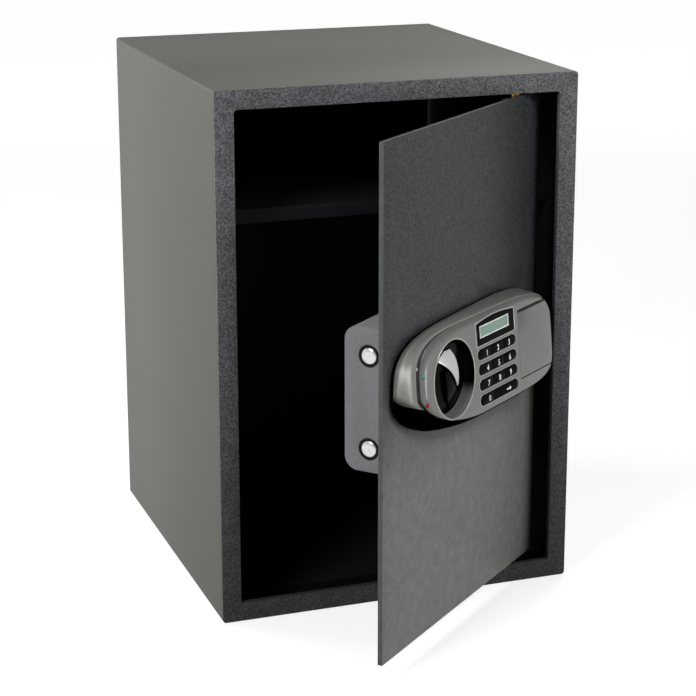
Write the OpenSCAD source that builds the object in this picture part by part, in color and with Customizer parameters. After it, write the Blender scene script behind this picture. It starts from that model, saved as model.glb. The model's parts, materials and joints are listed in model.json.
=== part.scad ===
// Furniture safe with an electronic lock, door standing open.
// Millimetres, +Z up, front towards -Y, origin at the centre of the underside.

/* [Cabinet] */
// Outer width of the cabinet
cab_w = 350; // [340:5:450]
// Outer depth of the cabinet
cab_d = 370; // [330:5:450]
// Outer height of the cabinet
cab_h = 500; // [470:5:600]
// Thickness of the wrapped sheet and of the back panel
wall_t = 2.5; // [2:0.1:3]
// Outer radius of the bent corners
corner_r = 3; // [3:0.5:6]
// Width of the front frame's face
frame_w = 18; // [17:0.5:22]
// Thickness of the front frame's face
frame_t = 3.5; // [3:0.1:4]
// Groove between the front frame and the wrapped sheet
frame_seam = 0.8; // [0.3:0.1:0.8]
// Depth of the frame's inner return, from the front
return_d = 6; // [5:0.1:6.4]
// Thickness of the frame's inner return
return_t = 2; // [1.5:0.1:2.2]
// Corner radius of the door opening
opening_r = 3; // [2:0.5:3]
// Thickness of the floor mat
mat_t = 1.5; // [1:0.1:3]
// Distance from the mat's edges to the walls
mat_gap = 1.5; // [1:0.5:4]

/* [Anchor holes] */
// Radius of the anchor holes in the back and the floor
anchor_r = 6; // [4:0.5:7]
// Spacing of the anchor holes across the cabinet
anchor_x = 170; // [100:5:200]
// Spacing of the back anchor holes in height
anchor_z = 200; // [120:5:220]
// Height of the back anchor pattern's centre
anchor_mid = 250; // [200:5:280]

/* [Shelf] */
// Height of the shelf's upper face
shelf_z = 380; // [345:1:400]
// Thickness of the shelf sheet
shelf_t = 1.5; // [1:0.1:3]
// Depth of the shelf's down-turned lips
shelf_lip = 12; // [8:0.5:20]
// Gap between the shelf's ends and the walls
shelf_gap = 1.2; // [0.5:0.1:3]
// Distance from the cabinet's front to the shelf's front edge
shelf_set = 56; // [54:1:120]
// Leg of the shelf supports
support_leg = 15; // [10:0.5:25]
// Thickness of the shelf supports
support_t = 2; // [1.5:0.1:3]

/* [Door] */
// Thickness of the door plate
door_t = 4; // [3:0.1:5]
// Gap between the door and the frame at the free edge
gap_free = 2; // [1.5:0.1:3]
// Gap between the door and the frame at the hinge edge
gap_hinge = 4; // [3.8:0.1:6]
// Gap above and below the door
gap_ends = 2; // [1.5:0.1:3]
// Distance from the opening's hinge side to the hinge axis
pivot_in = 42; // [40:0.5:50]
// Distance from the cabinet's front to the hinge axis
pivot_deep = 9; // [9:0.1:9.3]
// Angle at which the door stands open
door_open = 41; // [20:1:60]
// Diameter of the hinge pins
pin_d = 7; // [6:0.1:7.4]
// Running clearance round the hinge pins, on the radius
pin_play = 0.05; // [0.02:0.01:0.1]
// Outer diameter of the hinge bushes
bush_d = 9.4; // [9:0.1:9.6]
// Height of the blocks that the hinge pins stand in
hinge_block_h = 36; // [20:1:60]
// Width of the hinge blocks and lugs
hinge_block_w = 24; // [16:1:30]
// Depth of the hinge blocks and lugs behind the face they stand on
hinge_block_d = 13; // [12:0.5:18]

/* [Lock case] */
// Height of the lock's centre line
lock_z = 256; // [240:1:280]
// Distance from the door's free edge to the lock case
case_in = 3; // [2:0.5:6]
// Length of the lock case
case_l = 259; // [255:1:270]
// Height of the lock case
case_h = 127; // [125:1:140]
// Depth of the lock case behind the door plate
case_d = 34; // [34:0.5:40]
// Sheet thickness of the lock case
case_t = 1.5; // [1:0.1:2]
// Radius of the lock case's rear corners
case_r = 12; // [6:0.5:12]
// Height of the lock case's centre above the lock's centre line
case_up = 2; // [0:0.5:4]
// Radius of the case posts
post_r = 4; // [3.5:0.1:4.5]
// Distance from the case's ends to the posts: free end, hinge end
post_in = [72, 10];
// Distance from the case's long sides to the posts: lower, upper
post_side = [19.5, 21.5];
// Distance from the battery holder to the case's hinge end
holder_end = 18; // [16:0.5:20]

/* [Bolts] */
// Diameter of the locking bolts
bolt_d = 15; // [12:0.5:16]
// Distance of the bolts above and below the lock's centre line
bolt_rise = 41; // [38:0.5:44]
// Distance from the door plate to the bolts' axis
bolt_deep = 10.8; // [10.6:0.1:11]
// How far the bolts travel
throw = 18.4; // [14:0.2:18.4]
// Running clearance of the bolts in their bushes, on the radius
bolt_play = 0.05; // [0.02:0.01:0.1]
// Wall of the bolt bushes
bolt_bush_t = 2.25; // [1.5:0.05:2.3]
// Length of the bolts inside the case
bolt_l = 49; // [45:0.5:52]
// Thickness of the bolt plate
plate_t = 3; // [2:0.1:3]
// Height of the bolt plate's tongue
tongue_h = 37.5; // [37:0.5:40]
// Height of the tongue's middle above the lock's centre line
tongue_up = 3.25; // [3:0.25:4]
// Length of the tongue
tongue_l = 126; // [124:0.5:130]

/* [Knob] */
// Distance from the door's free edge to the knob's axis
knob_s = 99; // [98:0.5:100]
// Radius of the knob's disc
knob_r = 31; // [26:0.5:31]
// Height of the knob's disc face above the door
knob_face = 12; // [11.5:0.5:13]
// Height of the knob's grip above the door
grip_top = 17; // [16:0.5:20]
// Angle by which the grip is turned at rest
grip_turn = 0; // [-20:1:20]
// Radius of the spindle
spindle_r = 4; // [3:0.1:4.5]
// Running clearance of the spindle, on the radius
spindle_play = 0.05; // [0.02:0.01:0.1]
// Radius at which the drive pin turns
crank_r = 13; // [12.8:0.1:13.4]

/* [Lock housing] */
// Distance from the door's free edge to the housing's nose
house_s = 12; // [10:0.5:14]
// Length of the housing
house_l = 269; // [267:0.5:270]
// Half height of the housing
house_b = 50; // [49:0.5:52]
// Distance from the housing's nose to the panel's left end
panel_in = 34; // [32:0.5:35]
// Half height of the panel
panel_b = 45; // [44:0.5:46]
// Height of the panel's middle above the door
panel_h = 22; // [21.5:0.5:23]
// How much the panel rises per millimetre towards the hinge side
rise_s = 0.06; // [0.04:0.005:0.07]
// How much the panel rises per millimetre of height
rise_y = -0.09; // [-0.1:0.005:-0.06]
// Thickness of the base gasket
gasket_t = 3; // [2.5:0.1:3.4]
// How far the gasket stands out past the housing, or below 0 how far it is set in
gasket_lip = -0.6; // [-1:0.1:0.5]
// Wall of the housing
house_t = 2.5; // [2:0.1:2.6]
// Radius of the knob's bowl where it meets the panel
bowl_r = 36; // [35.5:0.5:36.5]

/* [Keypad and display] */
// Distance from the door's free edge to the key rows
keys_s = 141; // [140.5:0.5:142]
// Length of a key row
row_l = 69; // [67:0.5:69]
// Height of a key row
row_h = 9.5; // [9:0.5:10]
// Distance between the key rows
row_pitch = 14; // [14:0.1:14.4]
// Height of the upper key row above the lock's centre line
row_up = 10; // [9:0.5:10.5]
// Gap between keys and round them
key_gap = 0.3; // [0.2:0.05:0.5]
// How far a key stands above the panel
key_proud = 1; // [0.6:0.1:2]
// Key travel
key_travel = 1.3; // [0.8:0.1:1.4]
// Width of the display window
window_w = 69; // [66:0.5:70]
// Height of the display window at its sides
window_h = 20; // [19:0.5:21]
// Width of the display
lcd_w = 53; // [48:0.5:55]
// Height of the display
lcd_h = 11; // [10:0.5:12]

/* [Side cover] */
// Distance from the door's free edge to the side cover
cover_s = 218; // [217:0.5:220]
// Half height of the side cover
cover_b = 30.6; // [28:0.2:32]
// Width of the grooves beside the cover
cover_groove = 1; // [0.6:0.1:1.5]
// Radius of the emergency lock's barrel
barrel_r = 9.5; // [8:0.5:10]

/* [Hidden] */
$fn = 64;

// Small values shared by several pieces
fit = 0.02;
cut = 1;
free_play = 0.3;

// Door and hinge, in the cabinet's frame
half_w = cab_w / 2;
half_d = cab_d / 2;
open_w = cab_w - 2 * frame_w;
open_h = cab_h - 2 * frame_w;
door_w = open_w - gap_free - gap_hinge;
door_h = open_h - 2 * gap_ends;
door_z0 = frame_w + gap_ends;
pivot_x = half_w - frame_w - pivot_in;
pivot_y = pivot_deep - half_d;
// Hinge axis on the door, measured from its free edge
pivot_s = door_w + gap_hinge - pivot_in;

// Door parts are drawn as seen from the front of a closed door: x from the
// free edge to the hinge edge, y up, z out of the door's outer face.
module on_door() {
  translate([pivot_x, pivot_y, 0])
    rotate([0, 0, door_open])
      translate([-pivot_s, -pivot_deep, 0])
        rotate([90, 0, 0])
          children();
}

module slab(x0, x1, y0, y1, z0, z1) {
  translate([x0, y0, z0])
    cube([x1 - x0, y1 - y0, z1 - z0]);
}

module rod(x, y, z0, z1, r) {
  translate([x, y, z0])
    cylinder(r = r, h = z1 - z0);
}

// Rectangle from (0, 0) with round corners
module round_rect(w, h, r) {
  translate([r, 0])
    square([w - 2 * r, h]);
  translate([0, r])
    square([w, h - 2 * r]);
  for (x = [r, w - r], y = [r, h - r])
    translate([x, y])
      circle(r);
}

// Cabinet

shell_y = -half_d + frame_t + frame_seam;
inner_r = corner_r - wall_t + 0.5;

module cabinet_tube(y0, y1) {
  translate([0, y1, 0])
    rotate([90, 0, 0])
      linear_extrude(y1 - y0)
        difference() {
          translate([-half_w, 0])
            round_rect(cab_w, cab_h, corner_r);
          translate([-half_w + wall_t, wall_t])
            round_rect(cab_w - 2 * wall_t, cab_h - 2 * wall_t, inner_r);
        }
}

module cabinet_shell() {
  color("#7a7a74")
    difference() {
      cabinet_tube(shell_y, half_d);
      for (side = [-1, 1])
        rod(side * anchor_x / 2, 0, -cut, wall_t + cut, anchor_r);
    }
}

// The back panel lies between the walls, flush with their rear edges
module back_panel() {
  in = wall_t + free_play;
  color("#6f6f6a")
    difference() {
      slab(in - half_w, half_w - in, half_d - wall_t, half_d, in, cab_h - in);
      for (x = [-1, 1], z = [-1, 1])
        translate([x * anchor_x / 2, half_d + cut, anchor_mid + z * anchor_z / 2])
          rotate([90, 0, 0])
            cylinder(r = anchor_r, h = wall_t + 2 * cut);
    }
}

// The return is notched where the hinge pins pass behind it
module front_frame() {
  notch = bush_d / 2 + 1.5;
  color("#56565a")
    difference() {
      union() {
        translate([0, -half_d + frame_t, 0])
          rotate([90, 0, 0])
            linear_extrude(frame_t)
              translate([-half_w, 0])
                round_rect(cab_w, cab_h, corner_r);
        translate([0, -half_d + return_d, 0])
          rotate([90, 0, 0])
            linear_extrude(return_d)
              translate([-open_w / 2 - return_t, frame_w - return_t])
                round_rect(open_w + 2 * return_t, open_h + 2 * return_t, opening_r);
      }
      translate([0, -half_d + return_d + cut, 0])
        rotate([90, 0, 0])
          linear_extrude(return_d + 2 * cut)
            translate([-open_w / 2, frame_w])
              round_rect(open_w, open_h, opening_r);
      for (z = [frame_w - return_t - cut, frame_w + open_h - cut])
        slab(pivot_x - notch, pivot_x + notch, frame_t - half_d, return_d - half_d + cut,
             z, z + return_t + 2 * cut);
    }
}

module floor_mat() {
  x = half_w - wall_t - mat_gap;
  color("#1c1c1e")
    difference() {
      slab(-x, x, -half_d + shelf_set, half_d - wall_t - mat_gap, wall_t, wall_t + mat_t);
      for (side = [-1, 1])
        rod(side * anchor_x / 2, 0, wall_t - cut, wall_t + mat_t + cut, anchor_r + 2);
    }
}

shelf_x = half_w - wall_t - shelf_gap;
shelf_y0 = -half_d + shelf_set;
shelf_y1 = half_d - wall_t - shelf_gap;
support_top = shelf_z - shelf_t;

// Pressed angles, spot welded to the side walls
module shelf_supports() {
  inset = 2 * shelf_gap + shelf_t;
  color("#3a3a3c")
    for (side = [-1, 1])
      scale([side, 1, 1]) {
        slab(half_w - wall_t - support_leg, half_w - wall_t, shelf_y0 + inset, shelf_y1 - inset,
             support_top - support_t, support_top);
        slab(half_w - wall_t - support_t, half_w - wall_t, shelf_y0 + inset, shelf_y1 - inset,
             support_top - support_leg, support_top);
      }
}

module shelf() {
  color("#2b2b2d") {
    slab(-shelf_x, shelf_x, shelf_y0, shelf_y1, support_top, shelf_z);
    for (y = [shelf_y0, shelf_y1 - shelf_t])
      slab(-shelf_x, shelf_x, y, y + shelf_t, support_top - shelf_lip, shelf_z);
  }
}

// Hinge

lug_z0 = frame_w - return_t;
lug_z1 = cab_h - lug_z0;
block_gap = free_play;
pin_root = hinge_block_h - 4;

module at_pivot(z) {
  translate([pivot_x, pivot_y, z])
    children();
}

// Blocks behind the front frame, one on the floor and one under the roof
module hinge_lugs() {
  y0 = frame_t - half_d;
  color("#4a4a4c")
    for (z = [[wall_t, lug_z0], [lug_z1, cab_h - wall_t]])
      difference() {
        slab(pivot_x - hinge_block_w / 2, pivot_x + hinge_block_w / 2, y0, y0 + hinge_block_d,
             z[0], z[1]);
        at_pivot(z[0] - cut)
          cylinder(d = bush_d + 2 * fit, h = z[1] - z[0] + 2 * cut);
      }
}

bush_low = wall_t;
bush_len = door_z0 + gap_ends - block_gap - bush_low;

// Each bush stands out of its lug towards the door's hinge block
module hinge_bushes() {
  color("#b08d4a")
    for (z = [bush_low, cab_h - bush_low - bush_len])
      at_pivot(z)
        difference() {
          cylinder(d = bush_d, h = bush_len);
          translate([0, 0, -cut])
            cylinder(r = pin_d / 2 + pin_play, h = bush_len + 2 * cut);
        }
}

block_z0 = door_z0 + gap_ends;
block_z1 = door_z0 + door_h - gap_ends;

// The hinge pins' axis on the door, as a rod along the door's height
module pivot_rod(y0, y1, r) {
  translate([pivot_s, y0, -pivot_deep])
    rotate([-90, 0, 0])
      cylinder(r = r, h = y1 - y0);
}

module hinge_blocks() {
  color("#4a4a4c")
    on_door()
      for (y = [block_z0, block_z1 - hinge_block_h])
        difference() {
          slab(pivot_s - hinge_block_w / 2, pivot_s + hinge_block_w / 2, y, y + hinge_block_h,
               -door_t - hinge_block_d, -door_t);
          pivot_rod(y - cut, y + hinge_block_h + cut, pin_d / 2 + fit);
        }
}

module hinge_pins() {
  color("#c9c9c6")
    on_door() {
      pivot_rod(bush_low + 1, block_z0 + pin_root, pin_d / 2);
      pivot_rod(block_z1 - pin_root, cab_h - bush_low - 1, pin_d / 2);
    }
}

// Door plate

cable_at = [172, lock_z - 28];
barrel_at = [238, lock_z + 15];
screws_at = [[44, 22], [44, -22], [268, 26], [268, -26]];
screw_r = 1.5;
spindle_bush_r = spindle_r + 2;

module at_housing_screws() {
  for (p = screws_at)
    translate([p[0], lock_z + p[1], 0])
      children();
}

module door_plate() {
  color("#5a5b59")
    on_door()
      difference() {
        translate([0, door_z0, -door_t])
          linear_extrude(door_t)
            round_rect(door_w, door_h, 1);
        rod(knob_s, lock_z, -door_t - cut, cut, spindle_bush_r + fit);
        rod(cable_at[0], cable_at[1], -door_t - cut, cut, 5);
        rod(barrel_at[0], barrel_at[1], -door_t - cut, cut, barrel_r + fit);
        at_housing_screws()
          rod(0, 0, -door_t - cut, cut, screw_r + fit);
      }
}

// Lock case

case_s1 = case_in + case_l;
case_mid = lock_z + case_up;
case_y0 = case_mid - case_h / 2;
case_y1 = case_mid + case_h / 2;
case_back = -door_t - case_d;
bolt_z = -door_t - bolt_deep;
bush_out_r = bolt_d / 2 + bolt_play + bolt_bush_t;
posts_at = [for (s = [case_in + post_in[0], case_s1 - post_in[1]],
                 y = [case_y0 + post_side[0], case_y1 - post_side[1]]) [s, y]];

// Box open towards the door, its two long rear edges round
module case_body(x0, x1, inset, r) {
  d = case_d - inset;
  h = case_h - 2 * inset;
  translate([x0, case_y0 + inset, -door_t])
    rotate([0, 90, 0])
      linear_extrude(x1 - x0) {
        square([d - r, h]);
        translate([0, r])
          square([d, h - 2 * r]);
        for (y = [r, h - r])
          translate([d - r, y])
            circle(r);
      }
}

battery_w = 62;
battery_s = case_s1 - holder_end - battery_w;
battery_y0 = case_y0 + case_r - 0.5;
cell_r = 7.25;
cell_l = 50.5;
cell_gap = 0.3;
cell_step = 2 * cell_r + cell_gap;
holder_t = 1.6;
holder_h = 2 * cell_step + cell_gap + 2 * holder_t;
hatch_in = 3;
reset_at = [battery_s + 18, case_mid + 23];
reset_r = 3.8;

module at_case_posts() {
  for (p = posts_at)
    translate([p[0], p[1], 0])
      children();
}

module at_bolts() {
  for (side = [-1, 1])
    translate([0, lock_z + side * bolt_rise, bolt_z])
      rotate([0, 90, 0])
        children();
}

module lock_case() {
  color("#737376")
    on_door()
      difference() {
        case_body(case_in, case_s1, 0, case_r);
        case_body(case_in + case_t, case_s1 - case_t, case_t, case_r - case_t);
        at_bolts()
          translate([0, 0, case_in - cut])
            cylinder(r = bush_out_r + fit, h = case_t + 2 * cut);
        at_case_posts()
          rod(0, 0, case_back - cut, case_back + case_t + cut, 2.1);
        slab(battery_s + hatch_in, battery_s + battery_w - hatch_in, battery_y0 + holder_t,
             battery_y0 + holder_h - holder_t, case_back - cut, case_back + case_t + cut);
        rod(reset_at[0], reset_at[1], case_back - cut, case_back + case_t + cut, reset_r + 0.2);
      }
}

module case_posts() {
  z0 = case_back + case_t;
  color("#b9bcbd")
    on_door()
      at_case_posts()
        difference() {
          rod(0, 0, z0, -door_t, post_r);
          rod(0, 0, z0 - cut, z0 + 10, 2 + fit);
        }
}

module case_screws() {
  color("#c9c9c6")
    on_door()
      at_case_posts() {
        rod(0, 0, case_back - 2.2, case_back, 4);
        rod(0, 0, case_back - 1, case_back + case_t + 8, 2);
      }
}

bolt_tip = case_in - 0.6;
carrier_s = bolt_tip + bolt_l;

module bolt_bushes() {
  color("#0d0d0e")
    on_door()
      at_bolts()
        difference() {
          translate([0, 0, case_in - 0.4])
            cylinder(r = bush_out_r, h = 11);
          translate([0, 0, case_in - cut])
            cylinder(r = bolt_d / 2 + bolt_play, h = 11 + 2 * cut);
        }
}

// Bolt works, drawn with the bolts drawn back

tongue_z0 = bolt_z - bolt_d / 2 - 1.7;
tongue_mid = tongue_z0 + plate_t / 2 - plate_t;
tongue_back = tongue_z0 - plate_t;
crank_s = knob_s + crank_r * sin(45);
drive_pin_r = 3;
slot_play = 0.5;
guide_step = throw + 10.6;
guide_2_step = guide_step + 22;
guides_at = [[knob_s + guide_step, 0], [knob_s + guide_2_step, -10]];
guide_r = 3;
plunger_s = knob_s + guide_2_step;
tongue_y0 = lock_z + tongue_up - tongue_h / 2;
tongue_top = lock_z + tongue_up + tongue_h / 2;
plunger_r = 3;
notch_r = plunger_r + 0.8;
notch_deep = 6;

module slot(x0, x1, y, r) {
  slab(x0, x1, y - r, y + r, tongue_back - cut, tongue_z0 + cut);
  for (x = [x0, x1])
    rod(x, y, tongue_back - cut, tongue_z0 + cut, r);
}

// Cross bar that carries both bolts, and a tongue that the drive pin moves
module bolt_plate() {
  bar_b = bolt_rise + bolt_d / 2 + 1.5;
  pin_slot = drive_pin_r + slot_play;
  color("#a9acad")
    on_door()
      difference() {
        union() {
          slab(carrier_s, carrier_s + plate_t, lock_z - bar_b, lock_z + bar_b, tongue_back,
               bolt_z + bolt_d / 2 - 1);
          slab(carrier_s, carrier_s + tongue_l, tongue_y0, tongue_top, tongue_back, tongue_z0);
        }
        at_bolts()
          translate([0, 0, carrier_s - cut])
            cylinder(r = 4 + fit, h = plate_t + 2 * cut);
        slot(knob_s, knob_s + throw, lock_z, spindle_r + slot_play);
        slab(crank_s - pin_slot, crank_s + pin_slot, lock_z, lock_z + crank_r + 1,
             tongue_back - cut, tongue_z0 + cut);
        rod(crank_s, lock_z + crank_r + 1, tongue_back - cut, tongue_z0 + cut, pin_slot);
        for (g = guides_at)
          slot(g[0], g[0] + throw, lock_z + g[1], guide_r + free_play);
        for (s = [plunger_s, plunger_s + throw])
          slab(s - notch_r, s + notch_r, tongue_top - notch_deep, tongue_top + cut,
               tongue_back - cut, tongue_z0 + cut);
      }
}

module bolt(side) {
  dish = 1.2;
  color("#c3c5c4")
    on_door()
      translate([0, lock_z + side * bolt_rise, bolt_z])
        rotate([0, 90, 0])
          translate([0, 0, bolt_tip])
            rotate_extrude()
              polygon([[0, dish / 2], [dish, 0], [bolt_d / 2 - dish, 0], [bolt_d / 2, dish],
                       [bolt_d / 2, bolt_l], [4, bolt_l], [4, bolt_l + plate_t],
                       [0, bolt_l + plate_t]]);
}

module bolt_upper() bolt(1);
module bolt_lower() bolt(-1);

module guide_posts() {
  color("#b9bcbd")
    on_door()
      for (g = guides_at) {
        rod(g[0], lock_z + g[1], tongue_back - 1.6, -door_t, guide_r);
        rod(g[0], lock_z + g[1], tongue_back - 1.6, tongue_back - free_play, guide_r + 1.5);
      }
}

coil_w = 20;
coil_y0 = tongue_top + 8;
coil_l = 26;
coil_play = 0.06;

// Coil with its plunger hanging over the tongue's upper edge
module solenoid() {
  color("#8a5a3a")
    on_door()
      difference() {
        slab(plunger_s - coil_w / 2, plunger_s + coil_w / 2, coil_y0, coil_y0 + coil_l,
             tongue_mid - coil_w / 2, tongue_mid + coil_w / 2);
        translate([plunger_s, coil_y0 - cut, tongue_mid])
          rotate([-90, 0, 0])
            cylinder(r = plunger_r + coil_play, h = coil_l - 6 + cut);
      }
}

module solenoid_bracket() {
  t = 1.5;
  color("#b9bcbd")
    on_door() {
      slab(plunger_s - coil_w / 2 - t, plunger_s + coil_w / 2 + t, coil_y0, coil_y0 + coil_l,
           -door_t - t, -door_t);
      for (x = [plunger_s - coil_w / 2 - t, plunger_s + coil_w / 2])
        slab(x, x + t, coil_y0, coil_y0 + coil_l, tongue_mid - coil_w / 2, -door_t);
    }
}

plunger_tip = coil_y0 - 5.5;

module solenoid_plunger() {
  color("#d0d2d2")
    on_door()
      translate([plunger_s, plunger_tip, tongue_mid])
        rotate([-90, 0, 0])
          cylinder(r = plunger_r, h = coil_l - 3);
}

// Batteries

holder_back = case_back + case_t + free_play;

module battery_holder() {
  y1 = battery_y0 + holder_h;
  end = (battery_w - cell_l) / 2 - 0.2;
  color("#202022")
    on_door()
      difference() {
        slab(battery_s, battery_s + battery_w, battery_y0, y1, holder_back, -door_t);
        slab(battery_s + end, battery_s + battery_w - end, battery_y0 + holder_t, y1 - holder_t,
             holder_back - cut, -door_t - holder_t);
      }
}

module batteries() {
  color("#3c7a4c")
    on_door()
      for (row = [0, 1], layer = [0, 1])
        translate([battery_s + (battery_w - cell_l) / 2,
                   battery_y0 + holder_t + cell_gap + cell_r + row * cell_step,
                   -door_t - holder_t - 0.2 - cell_r - layer * cell_step])
          rotate([0, 90, 0])
            cylinder(r = cell_r, h = cell_l);
}

hatch_lap = 4;
hatch_t = 1.5;

// Flat lid over the hatch in the case's rear face
module battery_cover() {
  rib = 1;
  color("#1d1d1f")
    on_door() {
      slab(battery_s + hatch_in - hatch_lap, battery_s + battery_w - hatch_in + hatch_lap,
           battery_y0 + holder_t - 1, battery_y0 + holder_h - holder_t + hatch_lap,
           case_back - hatch_t, case_back);
      for (i = [0:3])
        slab(battery_s + 10 + 3 * i, battery_s + 10 + 3 * i + rib, battery_y0 + 8,
             battery_y0 + holder_h - 8, case_back - hatch_t - rib, case_back - hatch_t);
    }
}

reset_flange = 5;
reset_floor = case_back + case_t + 5.5;

module reset_switch() {
  z0 = case_back + case_t;
  color("#2a2d30")
    on_door()
      difference() {
        slab(reset_at[0] - 7, reset_at[0] + 7, reset_at[1] - 7, reset_at[1] + 7, z0,
             reset_floor + 6);
        rod(reset_at[0], reset_at[1], z0 - cut, reset_floor, reset_flange + 0.4);
      }
}

module reset_button() {
  z0 = case_back + case_t + free_play;
  color("#a02a24")
    on_door()
      translate([reset_at[0], reset_at[1], 0]) {
        rod(0, 0, case_back - 2.5, z0 + 1, reset_r);
        rod(0, 0, z0, z0 + 1.8, reset_flange);
      }
}

// Knob and its drive

bowl_floor = 6;
hub_r = 8;

module spindle_bush() {
  color("#b08d4a")
    on_door()
      difference() {
        union() {
          rod(knob_s, lock_z, -door_t - 2, 0.5, spindle_bush_r);
          rod(knob_s, lock_z, 0, 1.5, spindle_bush_r + 2);
        }
        rod(knob_s, lock_z, -door_t - 2 - cut, 1.5 + cut, spindle_r + spindle_play);
      }
}

lever_z1 = tongue_back - 0.5;
lever_t = 3;
nut_t = 3.5;
spindle_end = lever_z1 - lever_t - nut_t - 0.5;

module spindle() {
  color("#c3c5c4")
    on_door()
      rod(knob_s, lock_z, spindle_end, knob_face - 3, spindle_r);
}

module spindle_nut() {
  color("#b9bcbd")
    on_door()
      difference() {
        translate([knob_s, lock_z, lever_z1 - lever_t - nut_t])
          cylinder(r = 7, h = nut_t, $fn = 6);
        rod(knob_s, lock_z, spindle_end - cut, lever_z1, spindle_r + fit);
      }
}

// Crank behind the tongue, its pin reaching forward through the tongue's slot
module drive_lever() {
  color("#a9acad")
    on_door()
      translate([knob_s, lock_z, 0])
        rotate([0, 0, -45])
          difference() {
            union() {
              rod(0, 0, lever_z1 - lever_t, lever_z1, 8);
              slab(-4.5, 4.5, 0, crank_r, lever_z1 - lever_t, lever_z1);
              rod(0, crank_r, lever_z1 - lever_t, lever_z1, 4.5);
              rod(0, crank_r, lever_z1 - 1, tongue_z0 + 0.6, drive_pin_r);
            }
            rod(0, 0, lever_z1 - lever_t - cut, lever_z1 + cut, spindle_r + fit);
          }
}

// Half of the grip, drawn for a knob with a radius of 31: wide at the rim and
// narrow past the middle
half_grip = [[-22.5, 21], [-19.5, 24], [-10.5, 28], [-0.5, 28], [5, 22], [8, 16], [10.5, 7.5],
             [12.5, -0.5], [13.5, -8.5], [9, -9.5], [6.5, -5], [0.5, 2.5], [-6.5, 10], [-15, 16.5]];
grip_drop = 6;
crown_r = (knob_r * knob_r + grip_drop * grip_drop) / (2 * grip_drop);
inlay_t = 0.8;

module grip_half(shrink) {
  scale((knob_r - shrink) / 31)
    rotate([0, 0, grip_turn])
      polygon(half_grip);
}

// Ball whose top is the crowned face of the grip
module crown(inset) {
  translate([0, 0, grip_top - crown_r])
    sphere(r = crown_r - inset);
}

module knob() {
  color("#101011")
    on_door()
      translate([knob_s, lock_z, 0])
        difference() {
          union() {
            rod(0, 0, bowl_floor + 1, knob_face, knob_r);
            rod(0, 0, gasket_t + 2, bowl_floor + 2, hub_r);
            intersection() {
              translate([0, 0, bowl_floor + 2])
                linear_extrude(grip_top)
                  for (a = [0, 180])
                    rotate([0, 0, a])
                      grip_half(0);
              crown(0);
            }
          }
          difference() {
            translate([0, 0, knob_face - 1])
              linear_extrude(grip_top)
                grip_half(1.5);
            crown(inlay_t);
          }
          rod(0, 0, gasket_t, knob_face - 3 + fit, spindle_r + fit);
        }
}

// Bright pointer on one half of the grip
module knob_inlay() {
  color("#c9cbca")
    on_door()
      translate([knob_s, lock_z, 0])
        intersection() {
          translate([0, 0, knob_face - 1])
            linear_extrude(grip_top)
              grip_half(1.5);
          difference() {
            crown(0);
            crown(inlay_t);
          }
        }
}

// Lock housing

// The housing's outline is full at the nose's upper side and slender below
nose_power = 3.6;
chin_power = 1.9;
tail_power = 4;
house_y = lock_z + 0.5;
house_s1 = house_s + house_l;
house_mid = house_s + 118;
panel_s = house_s + panel_in;
panel_s1 = house_s1 - 3.5;
panel_mid = panel_s + 104;
rim_h = 8;
edge_in = 2.5;
edge_drop = 3;
steps = 72;

// Signed power, for the outline's rounded ends
function bend(v, n) = sign(v) * pow(abs(v), 2 / n);

// Closed outline round (mid, house_y), from s0 to s1 and half high on each side
function ring(s0, mid, s1, half) =
  [for (i = [0:steps - 1])
    let (a = 360 * i / steps,
         n = cos(a) >= 0 ? tail_power : sin(a) >= 0 ? nose_power : chin_power,
         reach = cos(a) >= 0 ? s1 - mid : mid - s0)
    [mid + reach * bend(cos(a), n), house_y + half * bend(sin(a), n)]];

function outline(inset) =
  ring(house_s + inset, house_mid, house_s1 - inset, house_b - inset);
function panel_outline(inset) =
  ring(panel_s + inset, panel_mid, panel_s1 - inset, panel_b - inset);

// The panel is tilted: this is the place where its height is panel_h
tilt_s = 170;
tilt_run = sqrt(1 + rise_s * rise_s + rise_y * rise_y);
function panel_at(p) = panel_h + rise_s * (p[0] - tilt_s) + rise_y * (p[1] - house_y);

// Layer along the panel, z0 to z1 above its face
module layer(z0, z1) {
  half = 200;
  translate([tilt_s, house_y, panel_h])
    rotate([asin(rise_y / tilt_run), -atan(rise_s), 0])
      translate([-half, -half, z0])
        cube([2 * half, 2 * half, z1 - z0]);
}

// Thin sheet in the panel's outline, z above its face
module panel_sheet(inset, z) {
  thin = 0.01;
  multmatrix([[1, 0, 0, 0], [0, 1, 0, 0],
              [rise_s, rise_y, 1, panel_at([0, 0]) + z - thin], [0, 0, 0, 1]])
    linear_extrude(thin)
      polygon(panel_outline(inset));
}

// Solid dome of the housing, drawn in on all sides by inset
module dome(inset) {
  hull() {
    translate([0, 0, gasket_t])
      linear_extrude(rim_h - gasket_t - inset / 2)
        polygon(outline(inset));
    panel_sheet(inset + edge_in, -inset);
    panel_sheet(inset, -inset - edge_drop);
  }
}

module base_gasket() {
  color("#0b0b0c")
    on_door()
      difference() {
        linear_extrude(gasket_t)
          polygon(outline(-gasket_lip));
        rod(knob_s, lock_z, -cut, gasket_t + cut, spindle_bush_r + 2.5);
        rod(cable_at[0], cable_at[1], -cut, gasket_t + cut, 5);
        rod(barrel_at[0], barrel_at[1], -cut, gasket_t + cut, barrel_r + 0.3);
        at_housing_screws()
          rod(0, 0, -cut, gasket_t + cut, screw_r + 0.2);
      }
}

bowl_low_r = knob_r + 1;
bowl_step = bowl_floor + 2;

module bowl_profile(grow, z0) {
  over = 2;
  polygon([[0, z0], [bowl_low_r + grow, z0], [bowl_low_r + grow, bowl_step],
           [bowl_r + grow, knob_face + 3], [bowl_r + grow, panel_h + over],
           [0, panel_h + over]]);
}

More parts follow.
